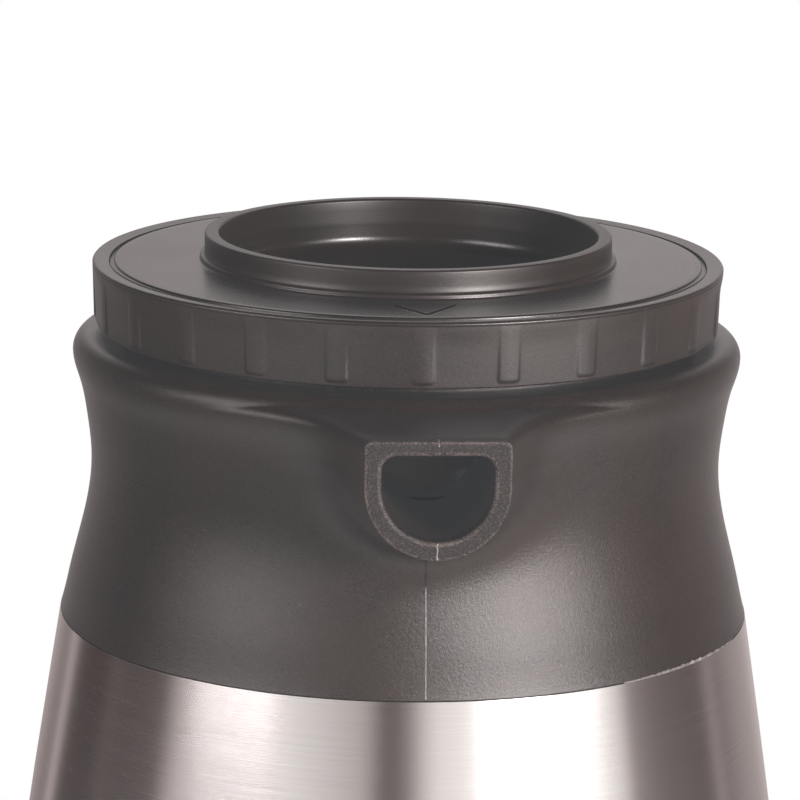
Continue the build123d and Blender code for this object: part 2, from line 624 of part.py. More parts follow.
# ------------------------------------------------------------------ lid
def lid_cover():
    """Lid's disc with the raised ring, the brew cup, its funnel and drain, and the V mark."""
    ring_r = CUP_R + CUP_WALL
    ring_top = LID_Z + CUP_TALL
    ledge_r = CUP_R - CUP_ROUND
    drain_top = CUP_FLOOR_Z - (ledge_r - DRAIN_R) * FUNNEL_FALL
    cone_foot = FUNNEL_KNEE_Z - (ring_r - DRAIN_OUT_R) * FUNNEL_FALL
    spigot_in = SPIGOT_R - SPIGOT_WALL
    half = CORNER * CUP_ROUND
    body = turned(
        Line((DRAIN_R, 0, DRAIN_Z), (DRAIN_OUT_R, 0, DRAIN_Z)),
        Line((DRAIN_OUT_R, 0, DRAIN_Z), (DRAIN_OUT_R, 0, cone_foot)),
        Line((DRAIN_OUT_R, 0, cone_foot), (ring_r, 0, FUNNEL_KNEE_Z)),
        Line((ring_r, 0, FUNNEL_KNEE_Z), (ring_r, 0, DISC_UNDER_Z)),
        Line((ring_r, 0, DISC_UNDER_Z), (spigot_in, 0, DISC_UNDER_Z)),
        Line((spigot_in, 0, DISC_UNDER_Z), (spigot_in, 0, SPIGOT_Z)),
        Line((spigot_in, 0, SPIGOT_Z), (SPIGOT_R, 0, SPIGOT_Z)),
        Line((SPIGOT_R, 0, SPIGOT_Z), (SPIGOT_R, 0, DISC_UNDER_Z)),
        Line((SPIGOT_R, 0, DISC_UNDER_Z), (DISC_R, 0, DISC_UNDER_Z)),
        Line((DISC_R, 0, DISC_UNDER_Z), (DISC_R, 0, LID_Z)),
        Line((DISC_R, 0, LID_Z), (ring_r, 0, LID_Z)),
        Line((ring_r, 0, LID_Z), (ring_r, 0, ring_top)),
        Line((ring_r, 0, ring_top), (CUP_R, 0, ring_top)),
        Line((CUP_R, 0, ring_top), (CUP_R, 0, CUP_FLOOR_Z + CUP_ROUND)),
        ThreePointArc((CUP_R, 0, CUP_FLOOR_Z + CUP_ROUND),
                      (ledge_r + half, 0, CUP_FLOOR_Z + CUP_ROUND - half),
                      (ledge_r, 0, CUP_FLOOR_Z)),
        Line((ledge_r, 0, CUP_FLOOR_Z), (DRAIN_R, 0, drain_top)),
        Line((DRAIN_R, 0, drain_top), (DRAIN_R, 0, DRAIN_Z)))
    bead = lathe((ring_r - SLACK, LID_Z - SLACK), (ring_r + CUP_BEAD, LID_Z - SLACK),
                 (ring_r + CUP_BEAD, LID_Z + CUP_BEAD / 2), (ring_r, LID_Z + 1.2 * CUP_BEAD),
                 (ring_r - SLACK, LID_Z + 1.2 * CUP_BEAD))
    return body + bead - pour_mark()


def pour_mark():
    """Two sunk strokes that meet in a V and point at the spout."""
    tip_y = -MARK_TIP_R
    end_y = tip_y + MARK_LONG
    thick = MARK_WIDTH * (MARK_SPREAD ** 2 + MARK_LONG ** 2) ** 0.5 / MARK_SPREAD
    outline = Polyline(
        (0, tip_y), (MARK_SPREAD, end_y), (MARK_SPREAD, end_y + thick), (0, tip_y + thick),
        (-MARK_SPREAD, end_y + thick), (-MARK_SPREAD, end_y), close=True)
    return Pos(0, 0, LID_Z - MARK_DEEP) * extrude(make_face(outline), MARK_DEEP + SLACK)


def grip_ring():
    """Ribbed ring that turns around the disc, with the lugs that lock the lid on the collar."""
    band_r = LID_R - RIM_BAND_WIDTH
    foot_r = LID_R - SKIRT_TAPER
    ledge_top = LEDGE_Z + LEDGE_THICK
    third = EDGE_ROUND / 3
    body = lathe((foot_r, SKIRT_Z), (LID_R, LID_Z - EDGE_ROUND), (LID_R - third, LID_Z - third),
                 (LID_R - EDGE_ROUND, LID_Z), (band_r, LID_Z), (band_r, ledge_top), (LEDGE_R, ledge_top),
                 (LEDGE_R, LEDGE_Z), (SKIRT_IN_R, LEDGE_Z), (SKIRT_IN_R, SKIRT_Z))
    rib_angle = degrees(RIB_WIDTH / LID_R)
    for number in range(RIB_COUNT):
        body += sector(foot_r - SLACK, LID_R, SKIRT_Z + RIB_END_GAP, LID_Z - RIB_END_GAP,
                       RIB_PHASE + 360 / RIB_COUNT * number, rib_angle)
    lug_top = NECK_TOP_Z - LUG_THICK - RUN
    for number in range(LUG_COUNT):
        middle = 360 / LUG_COUNT * (number + 0.5)
        body += sector(NECK_OUT_R + RUN, SKIRT_IN_R + SLACK, lug_top - LUG_THICK, lug_top, middle, LUG_ANGLE)
    return body


def lid_plug():
    """Hollow plug under the disc: flange, wall with the gasket's groove, floor and cage spigot."""
    cage_out = CAGE_R + CAGE_WALL + FIT
    wall_in = PLUG_R - PLUG_WALL
    plug = ring(UPSTAND_R - PLUG_WALL, UPSTAND_R, FLANGE_Z, DISC_UNDER_Z - FIT)
    plug += ring(UPSTAND_R - PLUG_WALL, BORE_R + FLANGE_OVER, FLANGE_Z, SPIGOT_Z)
    plug += ring(wall_in, PLUG_R, PLUG_Z, SPIGOT_Z)
    plug += ring(DRAIN_OUT_R + FIT, PLUG_R, PLUG_Z, PLUG_Z + PLUG_FLOOR)
    plug += ring(cage_out, cage_out + CAGE_WALL, PLUG_Z - CAGE_SPIGOT_TALL, PLUG_Z)
    low = PLUG_Z + LID_GASKET_UP - FIT
    high = low + LID_GASKET_TALL + 2 * FIT
    return plug - ring(PLUG_R - LID_GASKET_DEEP, PLUG_R + SLACK, low, high)


def lid_gasket():
    """Silicone ring with two lips around the plug."""
    low = PLUG_Z + LID_GASKET_UP
    high = low + LID_GASKET_TALL
    root_r = PLUG_R - LID_GASKET_DEEP
    lip_r = BORE_R - RUN
    third = LID_GASKET_TALL / 3
    return lathe((root_r, low), (PLUG_R, low), (lip_r, low + third / 2), (PLUG_R, low + third),
                 (PLUG_R, high - third), (lip_r, high - third / 2), (PLUG_R, high), (root_r, high))


def lid_foam():
    """Foam ring that fills the plug around the funnel."""
    outer_r = UPSTAND_R - PLUG_WALL - FOAM_GAP
    cup_r = CUP_R + CUP_WALL + FOAM_GAP
    inner_r = CAGE_R + CAGE_WALL
    floor_z = PLUG_Z + PLUG_FLOOR + FOAM_GAP
    top_z = DISC_UNDER_Z - FOAM_GAP
    knee_z = FUNNEL_KNEE_Z - FOAM_GAP
    return lathe((inner_r, floor_z), (outer_r, floor_z), (outer_r, top_z), (cup_r, top_z), (cup_r, knee_z),
                 (inner_r, knee_z - (cup_r - inner_r) * FUNNEL_FALL))


def valve_washer():
    """Soft seat that the float closes against."""
    return ring(DRAIN_R + FIT, CAGE_R - FIT, WASHER_Z, DRAIN_Z)


def valve_cage():
    """Cup under the drain that traps the float and holds the stem."""
    outer_r = CAGE_R + CAGE_WALL
    socket_r = STEM_R + SCREW_FIT
    floor_top = CAGE_Z + CAGE_FLOOR
    cage = ring(CAGE_R, outer_r, CAGE_Z, PLUG_Z)
    cage += ring(CAGE_OUTLET_R, CAGE_R + SLACK, CAGE_Z, floor_top)
    cage += ring(socket_r, socket_r + SOCKET_WALL, CAGE_Z - CAGE_SOCKET_TALL, CAGE_Z)
    rib_long = CAGE_R + SLACK - CAGE_OUTLET_R
    for number in range(CAGE_RIB_COUNT):
        rib = Pos(CAGE_OUTLET_R + rib_long / 2, 0, floor_top + CAGE_RIB_TALL / 2)
        rib = rib * Box(rib_long, CAGE_RIB_WIDTH, CAGE_RIB_TALL)
        cage += Rot(0, 0, 360 / CAGE_RIB_COUNT * number) * rib
    return cage


def valve_float():
    """Float that rises against the washer and closes the drain."""
    rim_z = FLOAT_Z + FLOAT_RIM_TALL
    return lathe((0, FLOAT_Z), (FLOAT_R - FLOAT_EDGE, FLOAT_Z), (FLOAT_R, FLOAT_Z + FLOAT_EDGE),
                 (FLOAT_R, rim_z),
                 (FLOAT_TOP_R, FLOAT_TOP_Z), (0, FLOAT_TOP_Z))


def brew_stem():
    """Tube that takes the brew down to the bottom of the flask."""
    low = CAGE_Z - STEM_LONG
    stem = ring(STEM_R - STEM_WALL, STEM_R, low, CAGE_Z)
    notch = Pos(0, 0, low) * Box(3 * STEM_R, STEM_NOTCH_WIDTH, 2 * STEM_NOTCH)
    return stem - notch


def main():
    """Writes one STEP file for each piece."""
    pieces = [outer_shell, inner_flask, shell_bottom, seal_plug, getter, base_cup, foot_ring,
              collar, neck_gasket, neck_clip,
              handle_grip, handle_cover, handle_screws, handle_bracket, foot_screw,
              lid_cover, grip_ring, lid_plug, lid_gasket, lid_foam,
              valve_washer, valve_cage, valve_float, brew_stem]
    os.makedirs("parts", exist_ok=True)
    for piece in pieces:
        export_step(piece(), "parts/" + piece.__name__ + ".step")


main()
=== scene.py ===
"""Looks of an insulated serving jug: brushed steel body, moulded collar with a spout, ribbed lid.

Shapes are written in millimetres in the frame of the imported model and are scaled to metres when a
mesh is made. The spout points along -Y, the handle along +Y, and the jug stands on z = 0.
"""
import json
from math import atan2, ceil, cos, degrees, hypot, pi, radians, sin, tan

import bmesh
import bpy
import numpy as np
from mathutils import Matrix, Vector


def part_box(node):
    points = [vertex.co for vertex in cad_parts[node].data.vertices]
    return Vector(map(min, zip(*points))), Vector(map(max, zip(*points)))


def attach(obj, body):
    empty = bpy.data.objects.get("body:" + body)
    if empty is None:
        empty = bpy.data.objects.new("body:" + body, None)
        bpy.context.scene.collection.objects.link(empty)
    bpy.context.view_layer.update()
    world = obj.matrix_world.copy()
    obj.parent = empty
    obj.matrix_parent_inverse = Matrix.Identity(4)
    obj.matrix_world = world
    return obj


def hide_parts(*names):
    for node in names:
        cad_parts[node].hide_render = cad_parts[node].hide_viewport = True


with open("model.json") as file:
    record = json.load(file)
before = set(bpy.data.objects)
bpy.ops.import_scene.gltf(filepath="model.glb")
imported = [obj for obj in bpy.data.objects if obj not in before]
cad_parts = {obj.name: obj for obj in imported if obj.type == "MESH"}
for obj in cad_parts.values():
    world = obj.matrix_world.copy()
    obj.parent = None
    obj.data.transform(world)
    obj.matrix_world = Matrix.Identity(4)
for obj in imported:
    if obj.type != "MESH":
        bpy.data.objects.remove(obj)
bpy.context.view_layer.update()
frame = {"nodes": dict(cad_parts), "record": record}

MM = 0.001


# ---------------- sizes read from the frame (mm)
def low(node):
    """Lowest corner of a CAD node."""
    return np.array(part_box(node)[0]) / MM


def high(node):
    """Highest corner of a CAD node."""
    return np.array(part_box(node)[1]) / MM


LID_Z = high("grip_ring")[2]  # flat top of the lid
LID_R = high("grip_ring")[0]  # top edge of the ribbed ring
SKIRT_Z = low("grip_ring")[2]  # lower edge of the ribbed ring
CUP_TOP_Z = high("lid_cover")[2]  # top of the raised ring
DISC_R = high("lid_cover")[0]  # edge of the disc
DRAIN_Z = low("lid_cover")[2]  # lower end of the drain
COLLAR_FOOT_Z = low("collar")[2]  # where the collar meets the steel
COLLAR_FOOT_R = high("collar")[0]
NECK_TOP_Z = high("collar")[2]
MOUTH_Y = low("collar")[1]  # plane of the spout's mouth
SEAT_Z = high("neck_gasket")[2]  # underside of the bore's seat
STEEL_NECK_Z = high("outer_shell")[2]  # top of the outer shell


# ---------------- collar (mm)
SHOULDER_DROP = 1.5  # from the ring's lower edge down to the collar's shoulder
SHOULDER_Z = SKIRT_Z - SHOULDER_DROP
COLLAR_TALL = SHOULDER_Z - COLLAR_FOOT_Z
WAIST_R = 60.3
BEAD_R = 63.8
BEAD_ROUND = 3.5
COLLAR_WALL = 3.0
SHOULDER_WALL = 2.8
COLLAR_SHARP = 28.0  # degrees, sharper edges stay crisp
INNER_CORNER = 0.35  # rounding of hidden corners, on the ring too
COLLAR_LEAN = -0.3  # slope of the outline at the collar's foot
PARTING_FADES_Z = COLLAR_FOOT_Z + 0.365 * COLLAR_TALL  # the mould's ridge is fainter above this height
BORE_R = 51.5
NECK_WALL = 3.0
NECK_OUT_R = BORE_R + NECK_WALL
SEAT_LIP = 3.5
SEAT_THICK = 2.0
LIP_POCKET_R = 51.2
CLIP_GROOVE_R = 53.4
CLIP_GROOVE_TALL = 2.2
TUBE_END_TALL = 3.3
LUG_COUNT = 4
LUG_ANGLE = 30.0
LUG_OUT = 2.2
LUG_THICK = 2.0
STOP_ANGLE = 2.0
# Outline of the collar: share of its height, radius in mm
COLLAR_OUTLINE = [(0.0, COLLAR_FOOT_R), (0.151, 64.32), (0.28, 62.52), (0.427, 60.81), (0.565, WAIST_R),
                  (0.72, 61.2), (0.84, 62.54), (0.886, 63.35)]


# ---------------- spout (mm)
MOUTH_WIDTH = 25.6
MOUTH_TALL = 21.2
MOUTH_TOP_Z = SHOULDER_Z - 1.3
MOUTH_CORNER = 1.4
MOUTH_ROUND_SHARE = 0.62
CHANNEL_WIDTH = 19.6
CHANNEL_TALL = 15.4
CHANNEL_TOP_Z = MOUTH_TOP_Z - 2.6
CHANNEL_CORNER = 2.6
CHANNEL_END_Y = -BORE_R + 8.0
MOUTH = MOUTH_WIDTH, MOUTH_TALL, MOUTH_TOP_Z, MOUTH_CORNER
CHANNEL = CHANNEL_WIDTH, CHANNEL_TALL, CHANNEL_TOP_Z, CHANNEL_CORNER
BAND_LONG = 2.2  # raised band around the mouth
BAND_PROUD = 0.5
BAND_FACE = 0.12  # the band's face lies this far behind the mouth's plane
BAND_SEAT = 1.2  # how far the band's mesh goes on into the beak
BEAK_FLARE = 0.27  # how fast the beak widens towards the collar
BEAK_DROP = 0.22  # how fast its underside falls towards the collar
BEAK_BLEND = 13.0  # width of the hollow between the beak's side and the collar
BEAK_SIDE_BLEND = 24.0  # the same high up on the beak's side
BEAK_TOP_BLEND = 1.6  # the same on top of the beak
PATCH_ANGLE = 54.0  # the spout's own mesh spans this angle to either side
PATCH_RINGS = 80
PATCH_TURNS = 59  # rounds that spread its rings evenly
PATCH_FIRST_ROW = 8  # row of the collar's outline that the spout's mesh starts from
RIDGE_X = 24.0  # the beak's top edges meet the shoulder this far from the middle
BAND_POINTS = 200
BURR_START, BURR_END = 34.0, 67.0  # degrees from the spout; the light burr between them stands in for a painted highlight


# ---------------- lid (mm)
BAND_WIDTH = 3.2  # flat band on top of the ribbed ring
SKIRT_TAPER = 0.6
SKIRT_WALL = 2.4
SKIRT_IN_R = LID_R - SKIRT_TAPER / 2 - SKIRT_WALL
EDGE_ROUND = 0.6
RIB_COUNT = 24
RIB_PITCH = 360 / RIB_COUNT
RIB_WIDTH = 3.9
RIB_END_GAP = 1.0
RIB_PHASE = -0.9  # degrees from the spout to the nearest rib
RIB_EDGE = 0.8  # width of a rib's rounded edge
RIB_CORNER = 0.7
RIB_SHARE = 0.50  # how much of the wall's lean a rib makes up for
PANEL_FLAT = 0.30  # the wall between two ribs is a little flatter than a circle
LEDGE_R = 50.9
LEDGE_THICK = 2.0
LEDGE_DROP = 5.1  # from the lid's top down to the ring's ledge
RING_LUG_DROP = 9.8  # from the lid's top down to its lugs
CUP_R = 36.1
CUP_WALL = 2.7
CUP_BEAD = 0.9
CUP_FLOOR_DROP = 5.2
CUP_ROUND = 3.0
RIM_OUT_ROUND = 0.45
RIM_IN_ROUND = 0.6
FUNNEL_SLOPE = 15.0
FUNNEL_WALL = 2.2
DRAIN_R = 8.0
DRAIN_WALL = 2.2
DISC_THICK = 2.8
SPIGOT_R = 50.6
SPIGOT_WALL = 2.0
SPIGOT_DROP = 5.4
MARK_TIP_R = 53.5
MARK_SPREAD = 5.4
MARK_LONG = 8.2
MARK_WIDTH = 1.15
MARK_DEEP = 0.55
MARK_LIP = 0.05  # material pushed up beside the V
MARK_ANGLE = 9.0  # the disc's mesh is finer inside this angle


# ---------------- camera and room
IMAGE_SIZE = 800  # px, the picture is square
FOCAL_PX = 4246.0
SENSOR = 36.0
CAMERA_AZIMUTH = -3.8
CAMERA_ELEVATION = 12.736
CAMERA_DISTANCE = 0.81622
LOOK_AT = Vector((0.0, 0.0, 0.18736))
CAMERA_ROLL = 0.89
AXIS_RIGHT_PX = 5.9  # the jug's axis lies this far right of the picture's middle
WALL_R = 0.72
WALL_FOOT_R = 0.30
WALL_TALL = 0.85
ROOF_TOP = 1.15
WALL_STEPS = 120
WALL_SEAM = 0.02  # the wall's parts fade into each other over twice this height
RAMP_TOP = 2.0  # brightness that a full ramp stands for
# Brightness of the wall by angle, counted to the right from the camera's side: its low, middle and high part
LOW_LEFT = [(-180, 0.95), (-160, 0.52), (-141, 0.29), (-136, 0.30), (-134, 0.60), (-130, 0.55), (-127, 0.16),
            (-121, 0.11), (-108, 0.10), (-102, 0.17), (-96, 0.13), (-78, 0.15), (-74, 0.5), (-69, 0.7),
            (-66, 0.15), (-40, 0.15), (-36, 1.30), (-27, 1.20), (-11, 0.80), (-8, 0.53), (-6, 0.15),
            (-4, 0.15), (-1, 0)]
LOW_RIGHT = [(-4, 0), (-1, 0.15), (2, 0.16), (3.7, 0.40), (7.5, 0.98), (11, 1.30), (24, 1.38), (30, 1.22),
             (42, 1.2), (48, 1.4), (58, 1.5), (62, 1.42), (70.5, 1.15), (74, 0.42), (80, 0.30), (88, 0.215),
             (105, 0.17), (109, 0.2), (112, 0.42), (115, 0.40), (118, 0.28), (130, 0.42), (145, 0.5),
             (180, 0.95)]
MIDDLE_BANDS = [(-180, 0.74), (-152, 0.72), (-148, 0.18), (-122, 0.15), (-118, 0), (-2, 0), (2, 1.0),
                (33, 1.0), (37, 0), (118, 0), (122, 0.05), (148, 0.1), (152, 0.9), (180, 0.85)]
HIGH_BANDS = [(-180, 1.45), (-152, 1.5), (-148, 0.12), (-122, 0.1), (-118, 0.05), (-92, 0), (118, 0),
              (122, 0.33), (148, 0.35), (152, 0.93), (180, 1.1)]
# Each part of the wall: its bands and the heights between which they show
WALL_PARTS = [(LOW_LEFT, 0.0, 0.31), (LOW_RIGHT, 0.0, 0.31), (MIDDLE_BANDS, 0.31, 0.50),
              (HIGH_BANDS, 0.50, WALL_TALL)]
FLOOR_R = 6.0
FLOOR_SHADE_R = 0.30  # the floor shows shadows inside this radius
FLOOR_SIDES = 64
FILL_LEVEL = 0.06
WHITE = (1, 1, 1, 1)
LAMP_COLOUR = (1.0, 0.93, 0.92)
LAMP_AWAY = 0.66
# Softboxes: name, angle to the right of the camera's side, angle up, width, height and brightness
LAMPS = [("key_right", 37, 13.5, 0.18, 0.09, 142.0), ("fill_right", 56, 14, 0.20, 0.20, 5.0),
         ("key_left", -54, 17, 0.34, 0.20, 12.0)]


# ---------------- looks
PLASTIC_IOR = 1.52
PAINTED_GLOW = 0.031  # strength of the glow painted into the plastics' emission, which lifts their darkest shade
PAINTED_GLOW_COLOUR = (0.95, 1.0, 1.06, 1.0)
STREAK_R = 60.0  # mm, where streaks around the axis have their stated fineness
LOOKS = {}  # the materials and the world by name


# ---------------- mesh helpers
def linked(name, data):
    """New object of the scene."""
    thing = bpy.data.objects.new(name, data)
    bpy.context.scene.collection.objects.link(thing)
    return thing


def mesh_piece(name, shape, body, slot_name, sharp=30.0, look=None):
    """Closed object of points in mm and faces; edges sharper than the given angle stay crisp.

    Its material is the slot's own one unless the name of another look is given.
    """
    points, faces = shape
    mesh = bpy.data.meshes.new(name)
    mesh.from_pydata([tuple(p) for p in np.asarray(points) * MM], [], [tuple(f) for f in faces])
    mesh.validate()
    piece = linked(name, mesh)
    finish_mesh(piece, sharp)
    mesh.materials.append(LOOKS[look or slot_name])
    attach(piece, body)
    face_outwards(piece)
    return piece


def finish_mesh(piece, sharp):
    """Smooth shading with crisp edges above an angle."""
    mesh = piece.data
    mesh.update()
    mesh.polygons.foreach_set("use_smooth", [True] * len(mesh.polygons))
    mesh.set_sharp_from_angle(angle=radians(sharp))


def face_outwards(piece):
    """Turns all faces of a closed mesh outwards."""
    work = bmesh.new()
    work.from_mesh(piece.data)
    bmesh.ops.recalc_face_normals(work, faces=work.faces)
    work.to_mesh(piece.data)
    work.free()


def polar(radius, angle, z):
    """Point at an angle in degrees that is counted from the spout towards +X."""
    return radius * sin(radians(angle)), -radius * cos(radians(angle)), z


def grid_faces(columns, rows, skip=lambda column, row: False):
    """Quads between the points of a grid that is stored column by column and closes on itself."""
    faces = []
    for c in range(columns):
        after = (c + 1) % columns
        for r in range(rows):
            up = (r + 1) % rows
            if not skip(c, r):
                faces.append((c * rows + r, after * rows + r, after * rows + up, c * rows + up))
    return faces


def loops_of(count, size, first=0):
    """Point numbers of closed loops that are stored one after another."""
    return [range(first + size * number, first + size * (number + 1)) for number in range(count)]


def loop_faces(loops):
    """Quads between each closed loop of point numbers and the loop after it."""
    return [(near[j], near[(j + 1) % len(near)], far[(j + 1) % len(near)], far[j])
            for near, far in zip(loops, loops[1:]) for j in range(len(near))]


def bar_faces(sections, corners):
    """Faces of a closed bar whose sections are stored one after another."""
    loops = loops_of(sections, corners)
    return loop_faces(loops) + [tuple(reversed(loops[0])), tuple(loops[-1])]


def lathe_points(profile, angles, shape=lambda angle, r, z: (r, z)):
    """Points of a profile of (r, z) turned to each angle; shape may move a point in its plane."""
    points = []
    for angle in angles:
        for corner in profile:
            r, z = shape(angle, *corner)
            points.append(polar(r, angle, z))
    return points


def lathed(profile, angles, shape):
    """Points and faces of a closed profile turned all the way round."""
    return lathe_points(profile, angles, shape), grid_faces(len(angles), len(profile))


def arc(centre, radius, start, end, steps):
    """Points of an arc in the (r, z) plane, from a start to an end angle in degrees."""
    spread = [radians(start + (end - start) * step / steps) for step in range(steps + 1)]
    return [(centre[0] + radius * cos(a), centre[1] + radius * sin(a)) for a in spread]


STRAIGHT_ENOUGH = 0.25  # a corner whose two unit vectors add up to less than this stays as it is


def softened(profile, radius, steps=3):
    """Closed (r, z) profile with its corners rounded by a small radius."""
    rounded = []
    corners = np.array(profile, float)
    for number, corner in enumerate(corners):
        before, after = corners[number - 1] - corner, corners[(number + 1) % len(corners)] - corner
        back, ahead = np.linalg.norm(before), np.linalg.norm(after)
        reach = min(radius, 0.45 * back, 0.45 * ahead)
        if np.linalg.norm(before / back + after / ahead) < STRAIGHT_ENOUGH:
            rounded.append(tuple(corner))
            continue
        first, last = corner + before / back * reach, corner + after / ahead * reach
        for t in [step / steps for step in range(steps + 1)]:
            rounded.append(tuple((1 - t) ** 2 * first + 2 * t * (1 - t) * corner + t ** 2 * last))
    return rounded


def sector_block(inner_r, outer_r, low_z, high_z, middle, width, round_r=0.3):
    """Points and faces of a closed part of a ring with slightly rounded corners."""
    steps = max(4, ceil(width))
    angles = [middle - width / 2 + width * step / steps for step in range(steps + 1)]
    corners = [(inner_r, low_z), (outer_r, low_z), (outer_r, high_z), (inner_r, high_z)]
    profile = softened(corners, round_r, 2)
    return lathe_points(profile, angles), bar_faces(len(angles), len(profile))


def joined(*blocks):
    """One list of points and one of faces from several closed blocks."""
    points, faces = [], []
    for block_points, block_faces in blocks:
        base = len(points)
        points.extend(block_points)
        faces.extend(tuple(base + corner for corner in face) for face in block_faces)
    return points, faces


def cut(piece, tool):
    """Takes the tool's volume out of the piece, and removes the tool."""
    modifier = piece.modifiers.new("cut", "BOOLEAN")
    modifier.operation = "DIFFERENCE"
    modifier.solver = "EXACT"
    modifier.object = tool
    bpy.context.view_layer.update()
    graph = bpy.context.evaluated_depsgraph_get()
    mesh = bpy.data.meshes.new_from_object(piece.evaluated_get(graph))
    piece.modifiers.remove(modifier)
    piece.data = mesh
    bpy.data.objects.remove(tool)


def smoothstep(low_edge, high_edge, value):
    """0 below the low edge, 1 above the high edge, and smooth between them."""
    t = np.clip((value - low_edge) / (high_edge - low_edge), 0, 1)
    return t * t * (3 - 2 * t)


def unit(vectors):
    """Vectors scaled to a length of 1."""
    return vectors / np.linalg.norm(vectors, axis=1, keepdims=True)


# ---------------- material helpers
class Nodes:
    """Short way to build the node tree of a material or a world, which goes into LOOKS."""

    def __init__(self, name, kind="Material"):
        self.owner = LOOKS[name] = getattr(bpy.data, kind.lower() + "s").new(name)
        self.owner.use_nodes = True
        self.tree = self.owner.node_tree
        self.tree.nodes.clear()
        self.output = self.add("Output" + kind)
        self.place = self.add("TexCoord").outputs["Object"]

    def add(self, kind, inputs=None, **settings):
        """New node of a shader kind; inputs are values, or sockets to link."""
        node = self.tree.nodes.new("ShaderNode" + kind)
        for key, value in settings.items():
            setattr(node, key, value)
        for key, value in (inputs or {}).items():
            self.feed(node.inputs[key], value)
        return node

    def get(self, kind, inputs, **settings):
        """First output of a new node."""
        return self.add(kind, inputs, **settings).outputs[0]

    def feed(self, socket, value):
        """Sets a socket's value, or links another socket to it."""
        if isinstance(value, bpy.types.NodeSocket):
            self.tree.links.new(value, socket)
        else:
            socket.default_value = value

    def show(self, shader):
        """Sends a shader to the output."""
        self.feed(self.output.inputs[0], shader.outputs[0])

    def show_mix(self, share, first, second):
        """The same for a mix of two shaders."""
        self.show(self.add("MixShader", {0: share, 1: first.outputs[0], 2: second.outputs[0]}))

    def math(self, operation, *values):
        """Result of a Math node."""
        return self.get("Math", dict(enumerate(values)), operation=operation)

    def plus(self, first, second):
        """Sum of two values."""
        return self.math("ADD", first, second)

    def times(self, first, second):
        """Product of two values."""
        return self.math("MULTIPLY", first, second)

    def blend(self, first, second, share):
        """One value by a share and another by the rest of it."""
        return self.plus(self.times(first, share), self.times(second, 1 - share))

    def noise(self, scale, detail=2.0, roughness=0.5, stretch=(1, 1, 1), place=None):
        """Noise value from 0 to 1; scale is in features per metre."""
        mapped = self.get("Mapping", {"Vector": place or self.place, "Scale": stretch})
        return self.get("TexNoise", {"Vector": mapped, "Scale": scale, "Detail": detail,
                                     "Roughness": roughness})

    def streaks(self, along, out, up, detail, roughness):
        """Noise with its own number of features per metre around Z, outwards and upwards."""
        angle, radius, z = self.around()
        place = self.get("CombineXYZ", {"X": self.times(angle, along * STREAK_R * MM),
                                        "Y": self.times(radius, out), "Z": self.times(z, up)})
        return self.noise(1.0, detail, roughness, place=place)

    def ramp(self, value, *stops):
        """Grey level between stops of (place, level)."""
        node = self.add("ValToRGB", {"Fac": value})
        elements = node.color_ramp.elements
        while len(elements) < len(stops):
            elements.new(0.5)
        for element, (place, level) in zip(elements, stops):
            element.position = place
            element.color = (level, level, level, 1)
        return node.outputs["Color"]

    def mix(self, factor, first, second):
        """Colour between two colours."""
        node = self.add("Mix", {"Factor": factor, 6: first, 7: second}, data_type="RGBA")
        return node.outputs[2]

    def fade(self, value, start, end, first, second, most=1.0):
        """Colour that turns from the first into the second while a value goes from start to end."""
        return self.mix(self.ramp(value, (start, 0.0), (end, most)), first, second)

    def span(self, value, low_value, high_value, start=0.0, end=1.0):
        """Turns a range, which is 0 to 1 unless it is given, into another one."""
        return self.get("MapRange", {"Value": value, "From Min": start, "From Max": end,
                                     "To Min": low_value, "To Max": high_value})

    def by_height(self, low_z, high_z, value):
        """0 below one height in mm, and the value above the other."""
        return self.span(self.split()["Z"], 0.0, value, low_z * MM, high_z * MM)

    def split(self):
        """X, Y and Z of a point, in metres."""
        return self.add("SeparateXYZ", {"Vector": self.place}).outputs

    def around(self):
        """Angle about Z, counted from the spout, and radius and height of a point in metres."""
        x, y, z = self.split()
        angle = self.math("ARCTAN2", x, self.times(y, -1.0))
        return angle, self.math("SQRT", self.plus(self.times(x, x), self.times(y, y))), z

    def within(self, value, limit):
        """1 where a value in metres is nearer to 0 than a limit in mm."""
        return self.math("LESS_THAN", self.math("ABSOLUTE", value), limit * MM)

    def in_bore(self):
        """1 on the walls of the collar's bore and of the channel through its spout, 0 elsewhere."""
        x, y, z = self.split()
        off = self.math("SUBTRACT", z, (CHANNEL_TOP_Z - CHANNEL_TALL / 2) * MM)
        section = self.times(self.within(x, CHANNEL_WIDTH / 2 + 0.05),
                             self.within(off, CHANNEL_TALL / 2 + 0.05))
        behind_mouth = self.math("GREATER_THAN", y, (MOUTH_Y + 0.8) * MM)
        channel = self.times(section, self.times(behind_mouth, self.math("LESS_THAN", y, 0.0)))
        return self.math("MAXIMUM", self.within(self.around()[1], BORE_R + 0.6), channel)

    def bump(self, height, distance, strength, normal=None):
        """Normal from a height value; distance is in mm."""
        inputs = {"Height": height, "Distance": distance * MM, "Strength": strength}
        if normal:
            inputs["Normal"] = normal
        return self.get("Bump", inputs)

    def speckled_glow(self, speck, low_share, high_share):
        """Painted glow that is a little weaker and stronger from speck to speck."""
        return self.span(self.ramp(speck, (0.3, 0.0), (0.7, 1.0)), PAINTED_GLOW * low_share, PAINTED_GLOW * high_share)

    def surface(self, colour, roughness, normal, glow_strength=None, **inputs):
        """Principled surface; glow_strength is the strength of a glow painted into its emission."""
        shader = self.add("BsdfPrincipled", {"Base Color": colour, "Roughness": roughness, "Normal": normal})
        if glow_strength is not None:
            inputs.update(Emission_Color=PAINTED_GLOW_COLOUR, Emission_Strength=glow_strength)
        for key, value in inputs.items():
            self.feed(shader.inputs[key.replace("_", " ")], value)
        self.show(shader)


def grey(level, warm=0.0):
    """Linear colour; warm adds red and takes blue."""
    return (level * (1 + warm), level, level * (1 - 0.3 * warm), 1.0)


